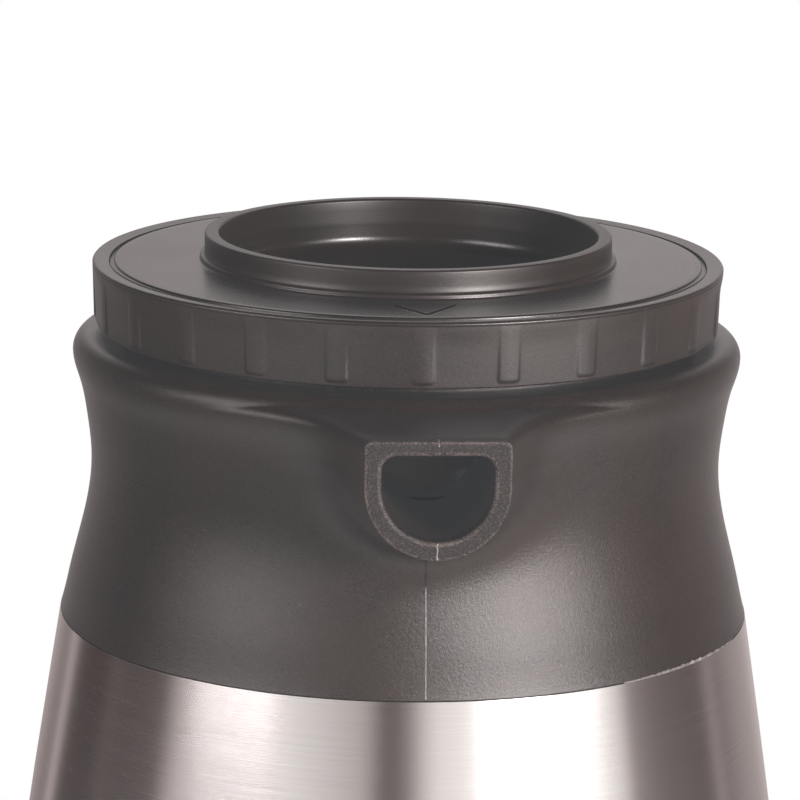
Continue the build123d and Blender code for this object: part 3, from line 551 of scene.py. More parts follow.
def moulded(name, base, rough, grain, grain_deep, mottle=0.25, warm=0.6, level=0.36, dulled=None,
            bore_glow=None):
    """Moulded plastic: fine spark-eroded grain, faint cloudiness and flow marks, and a faint painted glow
    that lifts its darkest shade.

    dulled is (height where it starts, height where it is complete, roughness above that);
    bore_glow is the strength of the glow painted on the walls of the bore and the channel, which also lose
    their specular, so that the hole shows an even dark grey.
    """
    n = Nodes(name)
    cloud = n.noise(38.0, 3.0, 0.6)
    flow = n.noise(9.0, stretch=(1.0, 1.0, 4.0))
    speck = n.noise(grain, 3.0, 0.7)
    fleck = n.noise(grain * 0.35, 2.0, 0.6)
    colour = n.fade(n.blend(cloud, flow, 0.6), 0.35, 0.65, grey(base * (1 - mottle), warm * 0.6),
                    grey(base * (1 + mottle), warm * 1.3))
    colour = n.fade(speck, 0.45, 0.72, colour, grey(base * 4.0, warm), 0.5)
    roughness = n.plus(n.span(cloud, rough - 0.05, rough + 0.05), n.span(speck, -0.04, 0.04))
    if dulled:
        roughness = n.plus(roughness, n.by_height(dulled[0], dulled[1], dulled[2] - rough))
    normal = n.bump(n.plus(speck, n.times(fleck, 0.6)), grain_deep * 8, 0.55)
    # painted glow that lifts the darkest shade of the plastic
    glow_lift = n.speckled_glow(speck, 0.78, 1.22)
    # the bore and the channel get a stronger painted glow and no specular
    if bore_glow:
        within = n.in_bore()
        level = n.times(level, n.math("SUBTRACT", 1.0, within))
        glow_lift = n.plus(glow_lift, n.times(within, bore_glow - PAINTED_GLOW))
    n.surface(colour, roughness, normal, glow_lift, IOR=PLASTIC_IOR, Specular_IOR_Level=level)


def worn_plastic(name, base, rough):
    """The collar's plastic on a trimmed band: light grainy specks along its edges, and a speckled painted
    glow.
    """
    n = Nodes(name)
    speck = n.noise(3600.0, 2.0, 0.7)
    cloud = n.noise(260.0, 3.0, 0.6)
    edge = n.add("Attribute", attribute_name="wear").outputs["Fac"]
    wear = n.times(edge, n.ramp(n.blend(speck, cloud, 0.6), (0.44, 0.0), (0.62, 1.0)))
    body = n.fade(speck, 0.45, 0.72, grey(base * 0.6, 0.5), grey(base * 4.0, 0.5))
    n.surface(n.mix(wear, body, grey(0.055, 0.3)), n.span(speck, rough - 0.05, rough + 0.08),
              n.bump(speck, 0.10, 0.7), n.speckled_glow(speck, 0.85, 1.3), IOR=PLASTIC_IOR,
              Specular_IOR_Level=0.26)


def turned_plastic(name, base, rough, warm):
    """Smoother plastic whose mould was turned: very fine rings around Z and faint radial flow, with a faint
    painted glow.
    """
    n = Nodes(name)
    lines = n.streaks(6.0, 1800.0, 1800.0, 2.0, 0.6)
    cloud = n.noise(45.0, 3.0, 0.6)
    speck = n.noise(2200.0, 2.0, 0.6)
    colour = n.fade(cloud, 0.3, 0.7, grey(base * 0.8, warm * 0.7), grey(base * 1.25, warm * 1.3))
    colour = n.fade(lines, 0.55, 0.8, colour, grey(base * 1.6, warm), 0.3)
    roughness = n.plus(n.span(cloud, rough - 0.04, rough + 0.04), n.span(lines, -0.03, 0.03))
    roughness = n.plus(roughness, n.by_height(LID_Z + 0.1, LID_Z + 0.9, 0.12))
    normal = n.bump(lines, 0.012, 0.4, n.bump(speck, 0.03, 0.35))
    n.surface(colour, roughness, normal, PAINTED_GLOW, IOR=PLASTIC_IOR, Specular_IOR_Level=0.34)


def brushed_steel(name, base, rough):
    """Steel brushed around Z: long fine lines, uneven polish and a few deeper scratches."""
    n = Nodes(name)
    lines = n.blend(n.streaks(26.0, 0.0, 7000.0, 3.0, 0.65), n.streaks(11.0, 0.0, 1500.0, 2.0, 0.5), 0.8)
    colour = n.fade(lines, 0.3, 0.7, grey(base * 0.9, 0.035), grey(base * 1.06, 0.02))
    roughness = n.plus(n.span(lines, rough - 0.05, rough + 0.05), n.span(n.noise(14.0), -0.02, 0.03))
    tangent = n.get("Tangent", {}, direction_type="RADIAL", axis="Z")
    n.surface(colour, roughness, n.bump(lines, 0.012, 0.5), Metallic=1.0, Anisotropic=0.9,
              Anisotropic_Rotation=0.25, Tangent=tangent)


def satin_steel(name):
    """Steel of the hidden vessel: dull, with faint drawing marks, some staining and a faint painted glow."""
    n = Nodes(name)
    stain = n.noise(22.0, 4.0, 0.6)
    grain = n.noise(1600.0, 2.0, 0.6, stretch=(1.0, 1.0, 0.08))
    colour = n.fade(stain, 0.3, 0.75, grey(0.42, 0.03), grey(0.56, 0.04))
    roughness = n.plus(n.span(stain, 0.30, 0.42), n.span(grain, -0.03, 0.05))
    n.surface(colour, roughness, n.bump(grain, 0.01, 0.4), 0.030, Metallic=1.0)


def clear_moulding(name, base, warm, through):
    """Natural or silicone moulding that lets a little light through, with a faint painted glow."""
    n = Nodes(name)
    cloud = n.noise(60.0, 3.0, 0.6)
    grain = n.noise(1900.0, 2.0, 0.6)
    colour = n.fade(cloud, 0.3, 0.7, grey(base * 0.88, warm), grey(base, warm * 0.7))
    n.surface(colour, n.span(cloud, 0.34, 0.48), n.bump(grain, 0.02, 0.4), 0.014,
              Subsurface_Weight=through, Subsurface_Scale=0.002)


def foam_material(name):
    """Closed-cell foam with open pits on its skin."""
    n = Nodes(name)
    cells = n.add("TexVoronoi", {"Vector": n.place, "Scale": 900.0}).outputs["Distance"]
    cloud = n.noise(50.0, 3.0, 0.6)
    colour = n.fade(cells, 0.1, 0.6, grey(0.55, 0.05), grey(0.75, 0.03))
    colour = n.mix(n.span(cloud, 0.0, 0.2), colour, grey(0.5, 0.1))
    n.surface(colour, 0.95, n.bump(cells, 0.25, 0.7))


def plain_metal(name, base, rough, warm):
    """Plated or sprung metal of small hidden parts, with fine wear."""
    n = Nodes(name)
    wear = n.noise(180.0, 4.0, 0.65)
    grain = n.noise(2500.0)
    colour = n.fade(wear, 0.35, 0.7, grey(base * 0.8, warm), grey(base, warm))
    n.surface(colour, n.span(wear, rough - 0.08, rough + 0.1), n.bump(grain, 0.01, 0.5), Metallic=1.0)


def make_materials():
    """One material for each slot of the record, and three looks for worn and trimmed plastic; one of them,
    on the collar's foot, also stands in for a painted highlight.
    """
    brushed_steel("brushed_steel", 0.62, 0.25)
    satin_steel("satin_steel")
    plain_metal("port_seal", 0.5, 0.45, 0.25)
    plain_metal("getter_metal", 0.45, 0.4, 0.05)
    plain_metal("spring_steel", 0.55, 0.3, 0.02)
    plain_metal("screw_steel", 0.6, 0.3, 0.03)
    # the collar's bore and channel get a stronger painted glow
    moulded("collar_plastic", 0.006, 0.29, 4200.0, 0.016, bore_glow=0.044,
            dulled=(SHOULDER_Z - 26, SHOULDER_Z - 11, 0.30))
    moulded("ring_plastic", 0.006, 0.40, 4600.0, 0.006, level=0.46, dulled=(LID_Z - 1.2, LID_Z - 0.3, 0.31))
    moulded("black_plastic", 0.008, 0.42, 2000.0, 0.014)
    moulded("foot_rubber", 0.020, 0.75, 1500.0, 0.02, level=0.3)
    # light plastic of trimmed flash; on the burr at the collar's foot it also stands in for a painted
    # highlight
    moulded("flash_and_highlight_plastic", 0.09, 0.34, 900.0, 0.02, mottle=0.8, warm=0.08)
    moulded("ridge_plastic", 0.09, 0.45, 900.0, 0.02, mottle=0.5, warm=0.04)
    worn_plastic("worn_plastic", 0.005, 0.55)
    turned_plastic("lid_plastic", 0.006, 0.27, 0.6)
    clear_moulding("silicone", 0.62, 0.03, 0.25)
    clear_moulding("natural_plastic", 0.66, 0.04, 0.2)
    foam_material("foam")


# ---------------- collar and spout
def spline_slopes(x, y, first, last):
    """Slopes at the points of a cubic spline whose end slopes are given."""
    count = len(x)
    matrix = np.eye(count)
    right = np.zeros(count)
    right[0], right[-1] = first, last
    for i in range(1, count - 1):
        back, ahead = x[i] - x[i - 1], x[i + 1] - x[i]
        matrix[i, i - 1:i + 2] = 1 / back, 2 / back + 2 / ahead, 1 / ahead
        right[i] = 3 * ((y[i] - y[i - 1]) / back ** 2 + (y[i + 1] - y[i]) / ahead ** 2)
    return np.linalg.solve(matrix, right)


OUTLINE_Z = np.array([COLLAR_FOOT_Z + share * COLLAR_TALL for share, r in COLLAR_OUTLINE]
                     + [SHOULDER_Z - BEAD_ROUND])
OUTLINE_R = np.array([r for share, r in COLLAR_OUTLINE] + [BEAD_R])
OUTLINE_SLOPES = spline_slopes(OUTLINE_Z, OUTLINE_R, COLLAR_LEAN, 0.0)


def wall_r(z):
    """Radius of the collar's side at a height below its bead."""
    z = np.clip(z, OUTLINE_Z[0], OUTLINE_Z[-1])
    i = np.clip(np.searchsorted(OUTLINE_Z, z, side="right") - 1, 0, len(OUTLINE_Z) - 2)
    step = OUTLINE_Z[i + 1] - OUTLINE_Z[i]
    t = (z - OUTLINE_Z[i]) / step
    start, end = OUTLINE_R[i], OUTLINE_R[i + 1]
    return ((2 * t ** 3 - 3 * t ** 2 + 1) * start + (t ** 3 - 2 * t ** 2 + t) * step * OUTLINE_SLOPES[i]
            + (3 * t ** 2 - 2 * t ** 3) * end + (t ** 3 - t ** 2) * step * OUTLINE_SLOPES[i + 1])


def collar_distance(p):
    """Distance to the collar without its spout, below zero inside."""
    r = np.hypot(p[:, 0], p[:, 1])
    z = p[:, 2]
    centre_r, centre_z = BEAD_R - BEAD_ROUND, SHOULDER_Z - BEAD_ROUND
    side = r - wall_r(z)
    bead = np.hypot(np.maximum(r - centre_r, 0), z - centre_z) - BEAD_ROUND
    top = np.where(r > centre_r, bead, z - SHOULDER_Z)
    return np.where(z > centre_z, top, side)


def rounded_max(first, second, radius):
    """Larger of two distances, with the edge between them rounded."""
    blend = np.maximum(radius - np.abs(first - second), 0) / radius
    return np.maximum(first, second) + blend ** 2 * radius / 4


def rounded_min(first, second, radius):
    """Smaller of two distances, with a hollow fillet between them."""
    blend = np.maximum(radius - np.abs(first - second), 0) / radius
    return np.minimum(first, second) - blend ** 3 * radius / 6


def beak_section(p):
    """Distance to the beak's sides and its round underside, which spread towards the collar."""
    back = np.maximum(p[:, 1] - MOUTH_Y - BAND_LONG, 0)
    half = MOUTH_WIDTH / 2 - BAND_PROUD + BEAK_FLARE * back
    floor = MOUTH_TOP_Z - MOUTH_TALL + BAND_PROUD - BEAK_DROP * back
    tall = MOUTH_TOP_Z - BAND_PROUD - floor
    sagitta = np.minimum(half, MOUTH_ROUND_SHARE * tall)
    radius = (half ** 2 + sagitta ** 2) / (2 * sagitta)
    side = np.abs(p[:, 0]) - half
    bowl = np.hypot(p[:, 0], p[:, 2] - floor - radius) - radius
    return np.where(p[:, 2] < floor + sagitta, bowl, side)


def skin_distance(p):
    """Distance to the collar and its beak: hollow on the sides, with a flat top cut across."""
    lower = smoothstep(2.0, 14.0, MOUTH_TOP_Z - p[:, 2])
    collar, section = collar_distance(p), beak_section(p)
    above = p[:, 2] - MOUTH_TOP_Z + BAND_PROUD
    blended = rounded_min(collar, section, BEAK_SIDE_BLEND + (BEAK_BLEND - BEAK_SIDE_BLEND) * lower)
    plain = rounded_min(collar, rounded_max(section, above, 2 * MOUTH_CORNER), BEAK_TOP_BLEND)
    return np.minimum(plain, rounded_max(blended, above, 2 * MOUTH_CORNER))


def onto_skin(p, rounds=3, longest=1.5):
    """Moves points onto the blended surface along its slope."""
    step = 0.05
    for _ in range(rounds):
        value = skin_distance(p)
        slope = np.stack([(skin_distance(p + step * axis) - skin_distance(p - step * axis)) / (2 * step)
                          for axis in np.eye(3)], 1)
        move = slope * (value / np.maximum((slope ** 2).sum(1), 0.05))[:, None]
        length = np.linalg.norm(move, axis=1, keepdims=True)
        p = p - move * np.minimum(1, longest / np.maximum(length, 1e-9))
    return p


def walked_shares(points):
    """For each point of a closed outline, the share of its length that lies before it."""
    walked = np.r_[0, np.cumsum(np.linalg.norm(np.diff(points, axis=0), axis=1))]
    return walked / (walked[-1] + np.linalg.norm(points[0] - points[-1]))


def along_outline(points, shares):
    """Places at shares of a closed outline's length."""
    marks = np.r_[walked_shares(points), 1.0]
    looped = np.vstack([points, points[:1]])
    return np.stack([np.interp(shares, marks, looped[:, k]) for k in (0, 1)], 1)


def d_outline(width, tall, top, corner, count=720):
    """Points of a D-shaped outline, flat on top, clockwise from the middle of its top towards +X."""
    half = width / 2
    sagitta = min(half, MOUTH_ROUND_SHARE * tall)
    side_z = top - tall + sagitta
    radius = (half ** 2 + sagitta ** 2) / (2 * sagitta)
    centre_z = top - tall + radius
    start = atan2(side_z - centre_z, half)
    points = [(0.0, top)]
    points += [(half - corner + corner * sin(a), top - corner + corner * cos(a))
               for a in np.linspace(0, pi / 2, 13)]
    points += [(radius * cos(a), centre_z + radius * sin(a)) for a in np.linspace(start, -pi / 2, 90)]
    points += [(-x, z) for x, z in reversed(points[1:-1])]
    return along_outline(np.array(points), np.linspace(0, 1, count, endpoint=False))


def collar_profile():
    """Closed outline of the collar's section, and its row at which the spout's patch ends."""
    side = [(COLLAR_FOOT_R - 0.45, COLLAR_FOOT_Z), (COLLAR_FOOT_R - 0.16, COLLAR_FOOT_Z + 0.08),
            (COLLAR_FOOT_R - 0.06, COLLAR_FOOT_Z + 0.28)]
    side += [(wall_r(z), z) for z in np.linspace(COLLAR_FOOT_Z + 0.6, SHOULDER_Z - BEAD_ROUND, 52)]
    bead = arc((BEAD_R - BEAD_ROUND, SHOULDER_Z - BEAD_ROUND), BEAD_ROUND, 0, 90, 12)[1:]
    shoulder = [(r, SHOULDER_Z) for r in (59.4, 58.5, 57.6)]
    outer = side + bead + shoulder
    groove_z = STEEL_NECK_Z - CLIP_GROOVE_TALL
    tube_end_z = groove_z - TUBE_END_TALL
    inner = softened([
        (NECK_OUT_R, SHOULDER_Z), (NECK_OUT_R, NECK_TOP_Z), (BORE_R, NECK_TOP_Z),
        (BORE_R, SEAT_Z + SEAT_THICK), (BORE_R - SEAT_LIP, SEAT_Z + SEAT_THICK), (BORE_R - SEAT_LIP, SEAT_Z),
        (LIP_POCKET_R, SEAT_Z), (LIP_POCKET_R, STEEL_NECK_Z), (CLIP_GROOVE_R, STEEL_NECK_Z),
        (CLIP_GROOVE_R, groove_z), (BORE_R, groove_z), (BORE_R, tube_end_z), (NECK_OUT_R, tube_end_z),
        (NECK_OUT_R, SHOULDER_Z - SHOULDER_WALL)], INNER_CORNER)
    under = [(wall_r(z) - COLLAR_WALL, z)
             for z in np.linspace(SHOULDER_Z - BEAD_ROUND, COLLAR_FOOT_Z, 14)]
    return outer + inner + under, len(outer) - 1


def spout_border(angles, last_row, rows):
    """Indices of the collar's points around the spout's patch, clockwise from the middle of its top."""
    inside = [c for c, angle in enumerate(angles) if abs(angle) <= PATCH_ANGLE]
    middle = min(inside, key=lambda c: abs(angles[c]))
    right = [c for c in inside if angles[c] > angles[middle]]
    left = [c for c in inside if angles[c] < angles[middle]]
    loop = [(c, last_row) for c in [middle, *right]]
    loop += [(right[-1], row) for row in range(last_row - 1, PATCH_FIRST_ROW, -1)]
    loop += [(c, PATCH_FIRST_ROW) for c in [*reversed(right), middle, *reversed(left)]]
    loop += [(left[0], row) for row in range(PATCH_FIRST_ROW + 1, last_row)]
    loop += [(c, last_row) for c in left]
    return [c * rows + row for c, row in loop], set(inside)


def matched_outline(border, outline):
    """For each border point, the point of the mouth's outline that it is joined to."""
    share, outline_share = walked_shares(border), walked_shares(outline)

    def ridge_share(side):
        top = [i for i in range(len(border))
               if border[i, 2] > SHOULDER_Z - 0.1 and side * border[i, 0] > 0]
        return share[min(top, key=lambda i: abs(border[i, 0] - side * RIDGE_X))]

    lowest = min(range(len(border)), key=lambda i: (border[i, 2], abs(border[i, 0])))
    border_marks = [0.0, ridge_share(1), share[lowest], ridge_share(-1), 1.0]
    corners = [np.argmax(outline[:, 0] + outline[:, 1]), np.argmin(outline[:, 1]),
               np.argmax(outline[:, 1] - outline[:, 0])]
    return along_outline(outline, np.interp(share, border_marks, [0.0, *outline_share[corners], 1.0]))


def spout_patch(border):
    """Rings of points from the mouth to the border, spread evenly over the blended surface."""
    outline = d_outline(MOUTH_WIDTH - 2 * BAND_PROUD, MOUTH_TALL - 2 * BAND_PROUD,
                        MOUTH_TOP_Z - BAND_PROUD, MOUTH_CORNER)
    mouth = matched_outline(border, outline)
    start = np.stack([mouth[:, 0], np.full(len(mouth), MOUTH_Y + BAND_LONG), mouth[:, 1]], 1)
    shares = (np.arange(PATCH_RINGS) / PATCH_RINGS) ** 1.35
    rings = np.stack([start + (border - start) * share for share in shares])

    def settle(rounds):
        rings[1:] = onto_skin(rings[1:].reshape(-1, 3), rounds).reshape(rings[1:].shape)

    for _ in range(PATCH_TURNS):
        settle(2)
        closed = np.concatenate([rings, border[None]])
        around = (np.roll(rings[1:], 1, 1) + np.roll(rings[1:], -1, 1)) / 2
        across = (closed[:-2] + closed[2:]) / 2
        rings[1:] += 0.35 * ((around + across) / 2 - rings[1:])
    settle(8)
    return rings


def collar_blocks():
    """Closed mesh of the collar with its beak."""
    profile, last_row = collar_profile()
    # columns close together around the spout, wider behind
    angles = [*np.linspace(-PATCH_ANGLE, PATCH_ANGLE, 109),
              *np.linspace(PATCH_ANGLE, 360 - PATCH_ANGLE, 142)[1:-1]]
    rows = len(profile)
    points = np.array(lathe_points(profile, angles))
    border_ids, inside = spout_border([a if a < 180 else a - 360 for a in angles], last_row, rows)
    rings = spout_patch(points[border_ids])

    def in_patch(column, row):
        return column in inside and (column + 1) in inside and PATCH_FIRST_ROW <= row < last_row

    loops = loops_of(PATCH_RINGS, len(border_ids), len(points))
    faces = grid_faces(len(angles), rows, in_patch) + loop_faces(loops + [border_ids])
    faces.append(tuple(reversed(loops[0])))
    used = sorted({corner for face in faces for corner in face})
    renumber = {old: new for new, old in enumerate(used)}
    all_points = np.vstack([points, rings.reshape(-1, 3)])
    return all_points[used], [tuple(renumber[c] for c in face) for face in faces]


def neck_lugs():
    """Lugs around the collar's neck, each with a stop under one end."""
    blocks = []
    foot_r, under_z = NECK_OUT_R - 1, NECK_TOP_Z - LUG_THICK
    for number in range(LUG_COUNT):
        middle = 360 / LUG_COUNT * number
        stop = middle - LUG_ANGLE / 2 - 1.5 * STOP_ANGLE
        blocks.append(sector_block(foot_r, NECK_OUT_R + LUG_OUT, under_z, NECK_TOP_Z, middle, LUG_ANGLE))
        blocks.append(sector_block(foot_r, NECK_OUT_R + LUG_OUT / 2, SHOULDER_Z - 1, under_z, stop,
                                   STOP_ANGLE, 0.15))
    return joined(*blocks)


def prism(outline, y_start, y_end):
    """Closed bar with an outline in the (x, z) plane."""
    return [(x, y, z) for y in (y_start, y_end) for x, z in outline], bar_faces(2, len(outline))


def make_collar():
    """Collar with its beak, the channel through it, and the lugs on its neck."""
    collar = mesh_piece("collar_shell", collar_blocks(), "jug", "collar_plastic", COLLAR_SHARP)
    tool = prism(d_outline(*CHANNEL, 160), MOUTH_Y - 2, CHANNEL_END_Y)
    cut(collar, mesh_piece("channel_tool", tool, "jug", "collar_plastic"))
    finish_mesh(collar, COLLAR_SHARP)
    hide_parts("collar")
    mesh_piece("collar_lugs", neck_lugs(), "jug", "collar_plastic", 40.0)


def make_mouth_band():
    """Raised band around the spout's mouth, with softly worn edges."""
    # outline, distance behind the mouth's plane, inset, wear
    layers = [(MOUTH, BAND_LONG + BAND_SEAT, 0.0, 0), (MOUTH, 0.7, 0.0, 0), (MOUTH, 0.42, 0.0, 1),
              (MOUTH, 0.19, 0.09, 1), (MOUTH, BAND_FACE, 0.30, 1), (MOUTH, BAND_FACE, 0.60, 0),
              (CHANNEL, BAND_FACE, -0.85, 0), (CHANNEL, BAND_FACE, -0.50, 1), (CHANNEL, 0.24, -0.17, 1),
              (CHANNEL, 0.57, 0.02, 1), (CHANNEL, 0.9, 0.02, 0), (CHANNEL, BAND_LONG + BAND_SEAT, 0.02, 0)]
    points, wear = [], []
    for (width, tall, top, corner), back, inset, worn in layers:
        outline = d_outline(width - 2 * inset, tall - 2 * inset, top - inset, corner - min(inset, 0.5),
                            BAND_POINTS)
        points += [(x, MOUTH_Y + back, z) for x, z in outline]
        wear += [float(worn)] * BAND_POINTS
    loops = loops_of(len(layers), BAND_POINTS)
    shape = points, loop_faces(loops + loops[:1])
    band = mesh_piece("spout_band", shape, "jug", "collar_plastic", 50.0, "worn_plastic")
    band.data.attributes.new("wear", "FLOAT", "POINT").data.foreach_set("value", wear)


def thin_strip(name, sections, look):
    """Thin ridge on the collar, made of sections of four points."""
    shape = [corner for section in sections for corner in section], bar_faces(len(sections), 4)
    mesh_piece(name, shape, "jug", "collar_plastic", 60.0, look)


def flash_line(name, path, normals, size, look):
    """Uneven ridge left where the mould's halves met; its size is half its width, and its height."""
    half, tall = size
    chance = np.random.default_rng(5)
    sections = []
    for place, normal in zip(path, normals):
        height = tall * (0.45 + 0.75 * chance.random())
        drift = 0.05 * (chance.random() - 0.5)
        sides = ((-half, -0.15), (-half * 0.4, height), (half * 0.4, height), (half, -0.15))
        sections.append([np.array([x + drift, 0.0, 0.0]) + place + up * normal for x, up in sides])
    thin_strip(name, sections, look)


def skin_path(start, end, shares):
    """Path over the collar's skin between two places (y, z) at x = 0, and its directions outwards."""
    start, end = np.array([0.0, *start]), np.array([0.0, *end])
    path = onto_skin(np.stack([start + (end - start) * share for share in shares]), 12, 4.0)
    path[:, 0] = 0.0
    along = np.gradient(path, axis=0)
    return path, unit(np.stack([np.zeros(len(path)), -along[:, 2], along[:, 1]], 1))


def band_flash(name, stations, size):
    """Parting line over the mouth band; each station is (y, z) and the way out of the surface."""
    stations = np.array(stations, float)
    even = np.linspace(0, len(stations) - 1, 26)
    y, z, out_y, out_z = [np.interp(even, range(len(stations)), column) for column in stations.T]
    path = np.stack([0.06 * np.sin(even * 4.0), y, z], 1)
    normals = unit(np.stack([np.zeros(len(even)), out_y, out_z], 1))
    flash_line(name, path, normals, size, "flash_and_highlight_plastic")


def make_parting_line():
    """Parting line of the mould: up the collar, along the beak's underside and over the mouth band."""
    floor_z = MOUTH_TOP_Z - MOUTH_TALL
    lip_z = CHANNEL_TOP_Z - CHANNEL_TALL
    face_y = MOUTH_Y + BAND_FACE
    shares = np.linspace(0, 1, 90) ** 0.9
    path, normals = skin_path((-COLLAR_FOOT_R, COLLAR_FOOT_Z + 0.5),
                              (MOUTH_Y + BAND_LONG + 0.1, floor_z + BAND_PROUD), shares)
    bright = int(np.argmax(path[:, 2] > PARTING_FADES_Z))
    flash_line("parting_line", path[:bright + 1], normals[:bright + 1], (0.20, 0.12), "ridge_plastic")
    flash_line("parting_line_upper", path[bright:], normals[bright:], (0.13, 0.07), "worn_plastic")
    bottom = [(MOUTH_Y + BAND_LONG, floor_z, 0, -1), (face_y + 0.3, floor_z, -0.3, -1),
              (face_y, floor_z + 0.3, -1, -0.6), (face_y, floor_z + 1.0, -1, 0),
              (face_y, lip_z - 0.8, -1, 0), (face_y + 0.1, lip_z - 0.1, -0.7, 0.7)]
    band_flash("parting_line_band", bottom, (0.24, 0.08))
    top = [(face_y, MOUTH_TOP_Z - 0.9, -1, 0), (face_y, MOUTH_TOP_Z - 0.3, -1, 0.3),
           (face_y + 0.3, MOUTH_TOP_Z, 0.3, 1), (MOUTH_Y + BAND_LONG, MOUTH_TOP_Z, 0, 1)]
    band_flash("parting_line_top", top, (0.20, 0.06))
    path, normals = skin_path((MOUTH_Y + BAND_LONG + 0.3, MOUTH_TOP_Z - BAND_PROUD),
                              (-BEAD_R + BEAD_ROUND + 1.0, SHOULDER_Z), np.linspace(0, 1, 60))
    flash_line("parting_line_beak", path, normals, (0.13, 0.05), "collar_plastic")


def make_collar_burr_highlight():
    """Burr on the joint between the collar's foot and the steel; its light plastic, placed only on the side
    of the key light, is a painted highlight.
    """
    angles = np.arange(BURR_START, BURR_END, 0.5)
    chance = np.random.default_rng(11)
    sections = []
    for angle in angles:
        share = (angle - angles[0]) / (angles[-1] - angles[0])
        swell = max(0.25, sin(pi * share)) * (0.3 + 0.9 * chance.random())
        sides = ((-0.25, 0.05), (0.10 * swell, 0.02), (0.14 * swell, 0.10 + 0.22 * swell),
                 (-0.05, 0.20 + 0.45 * swell))
        sections.append([polar(COLLAR_FOOT_R + out, angle, COLLAR_FOOT_Z + up) for out, up in sides])
    thin_strip("collar_burr_highlight", sections, "flash_and_highlight_plastic")


# ---------------- lid
def ring_profile():
    """Closed outline of the ribbed ring's section, from its lower outer edge."""
    foot_r = LID_R - SKIRT_TAPER
    ledge_z = LID_Z - LEDGE_DROP
    wall = [(foot_r - 0.25, SKIRT_Z), (foot_r, SKIRT_Z + 0.25)]
    rows = [0.55, 0.7, 0.85, 1.0, 1.15, 1.3, 1.5, 1.75, 2.1, 3.0, 4.5, 6.0, 7.5, 9.0, 10.2, 10.9]
    wall += [(foot_r + SKIRT_TAPER * up / (LID_Z - SKIRT_Z), SKIRT_Z + up) for up in rows]
    groove_z = LID_Z - EDGE_ROUND
    wall += [(LID_R - 0.03, groove_z - 0.25), (LID_R - 0.16, groove_z - 0.12), (LID_R - 0.04, groove_z)]
    crown = arc((LID_R - EDGE_ROUND, groove_z), EDGE_ROUND, 12, 90, 6)
    inside = softened([
        (LID_R - BAND_WIDTH, LID_Z), (LID_R - BAND_WIDTH, ledge_z + LEDGE_THICK),
        (LEDGE_R, ledge_z + LEDGE_THICK), (LEDGE_R, ledge_z), (SKIRT_IN_R, ledge_z),
        (SKIRT_IN_R, SKIRT_Z)], INNER_CORNER)
    return wall + crown + inside


def ring_columns():
    """Angles of the ring's columns, close together at the ribs' edges."""
    edge = RIB_WIDTH / 2
    half_pitch = pi * LID_R / RIB_COUNT
    near = [-0.45, -0.3, -0.15, 0.0, 0.15, 0.3, 0.45]
    steps = [-edge + step for step in near] + [-0.9, 0.0, 0.9] + [edge + step for step in near]
    steps += [half_pitch + step for step in (-4.7, -3.6, -2.4, -1.2, 0.0, 1.2, 2.4, 3.6, 4.7)]
    return [RIB_PHASE + RIB_PITCH * number + degrees(step / LID_R)
            for number in range(RIB_COUNT) for step in steps]


def rib_shape(angle, r, z):
    """Ribs that stand upright while the wall behind them leans in towards its foot."""
    if r < LID_R - SKIRT_TAPER - 0.3 or z > LID_Z - 1.3:
        return r, z
    off = (angle - RIB_PHASE + RIB_PITCH / 2) % RIB_PITCH - RIB_PITCH / 2
    across = abs(radians(off)) * LID_R - RIB_WIDTH / 2 + RIB_CORNER
    below = RIB_END_GAP + RIB_CORNER - (z - SKIRT_Z)
    away = hypot(max(across, 0), max(below, 0)) + min(max(across, below), 0) - RIB_CORNER
    proud = 1 - smoothstep(-RIB_EDGE / 2, RIB_EDGE / 2, away)
    from_middle = 1 - abs(off) / (RIB_PITCH / 2)
    flat = PANEL_FLAT * (1 - from_middle ** 2) * (1 - smoothstep(LID_Z - 4.0, LID_Z - 1.3, z))
    return r + RIB_SHARE * (LID_R - r) * proud - flat, z


def make_grip_ring():
    """Ribbed ring with its ledge and its lugs."""
    blocks = [lathed(ring_profile(), ring_columns(), rib_shape)]
    lug_top = LID_Z - RING_LUG_DROP
    for number in range(LUG_COUNT):
        blocks.append(sector_block(NECK_OUT_R + 0.3, SKIRT_IN_R + 1, lug_top - LUG_THICK, lug_top,
                                   360 / LUG_COUNT * (number + 0.5), LUG_ANGLE))
    ring = mesh_piece("ribbed_ring", joined(*blocks), "lock_ring", "ring_plastic", 38.0)
    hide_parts("grip_ring")


def mark_depth(x, y):
    """Depth of the V mark below the disc at a place."""
    start = np.array([0.0, -MARK_TIP_R + MARK_WIDTH / 2])
    end = np.array([MARK_SPREAD, -MARK_TIP_R + MARK_LONG + MARK_WIDTH / 2])
    along = end - start
    place = np.array([abs(x), y]) - start
    t = min(max(place @ along / (along @ along), 0.0), 1.0)
    away = np.linalg.norm(place - t * along) / MARK_WIDTH
    groove = 1 - smoothstep(0.22, 0.52, away)
    lip = smoothstep(0.42, 0.62, away) * (1 - smoothstep(0.62, 0.95, away))
    return MARK_DEEP * groove - MARK_LIP * lip


def cover_shape(angle, r, z):
    """Sinks the V mark into the disc."""
    if abs(z - LID_Z) > 0.01 or abs(angle) > MARK_ANGLE:
        return r, z
    x, y, _ = polar(r, angle, z)
    return r, z - mark_depth(x, y)


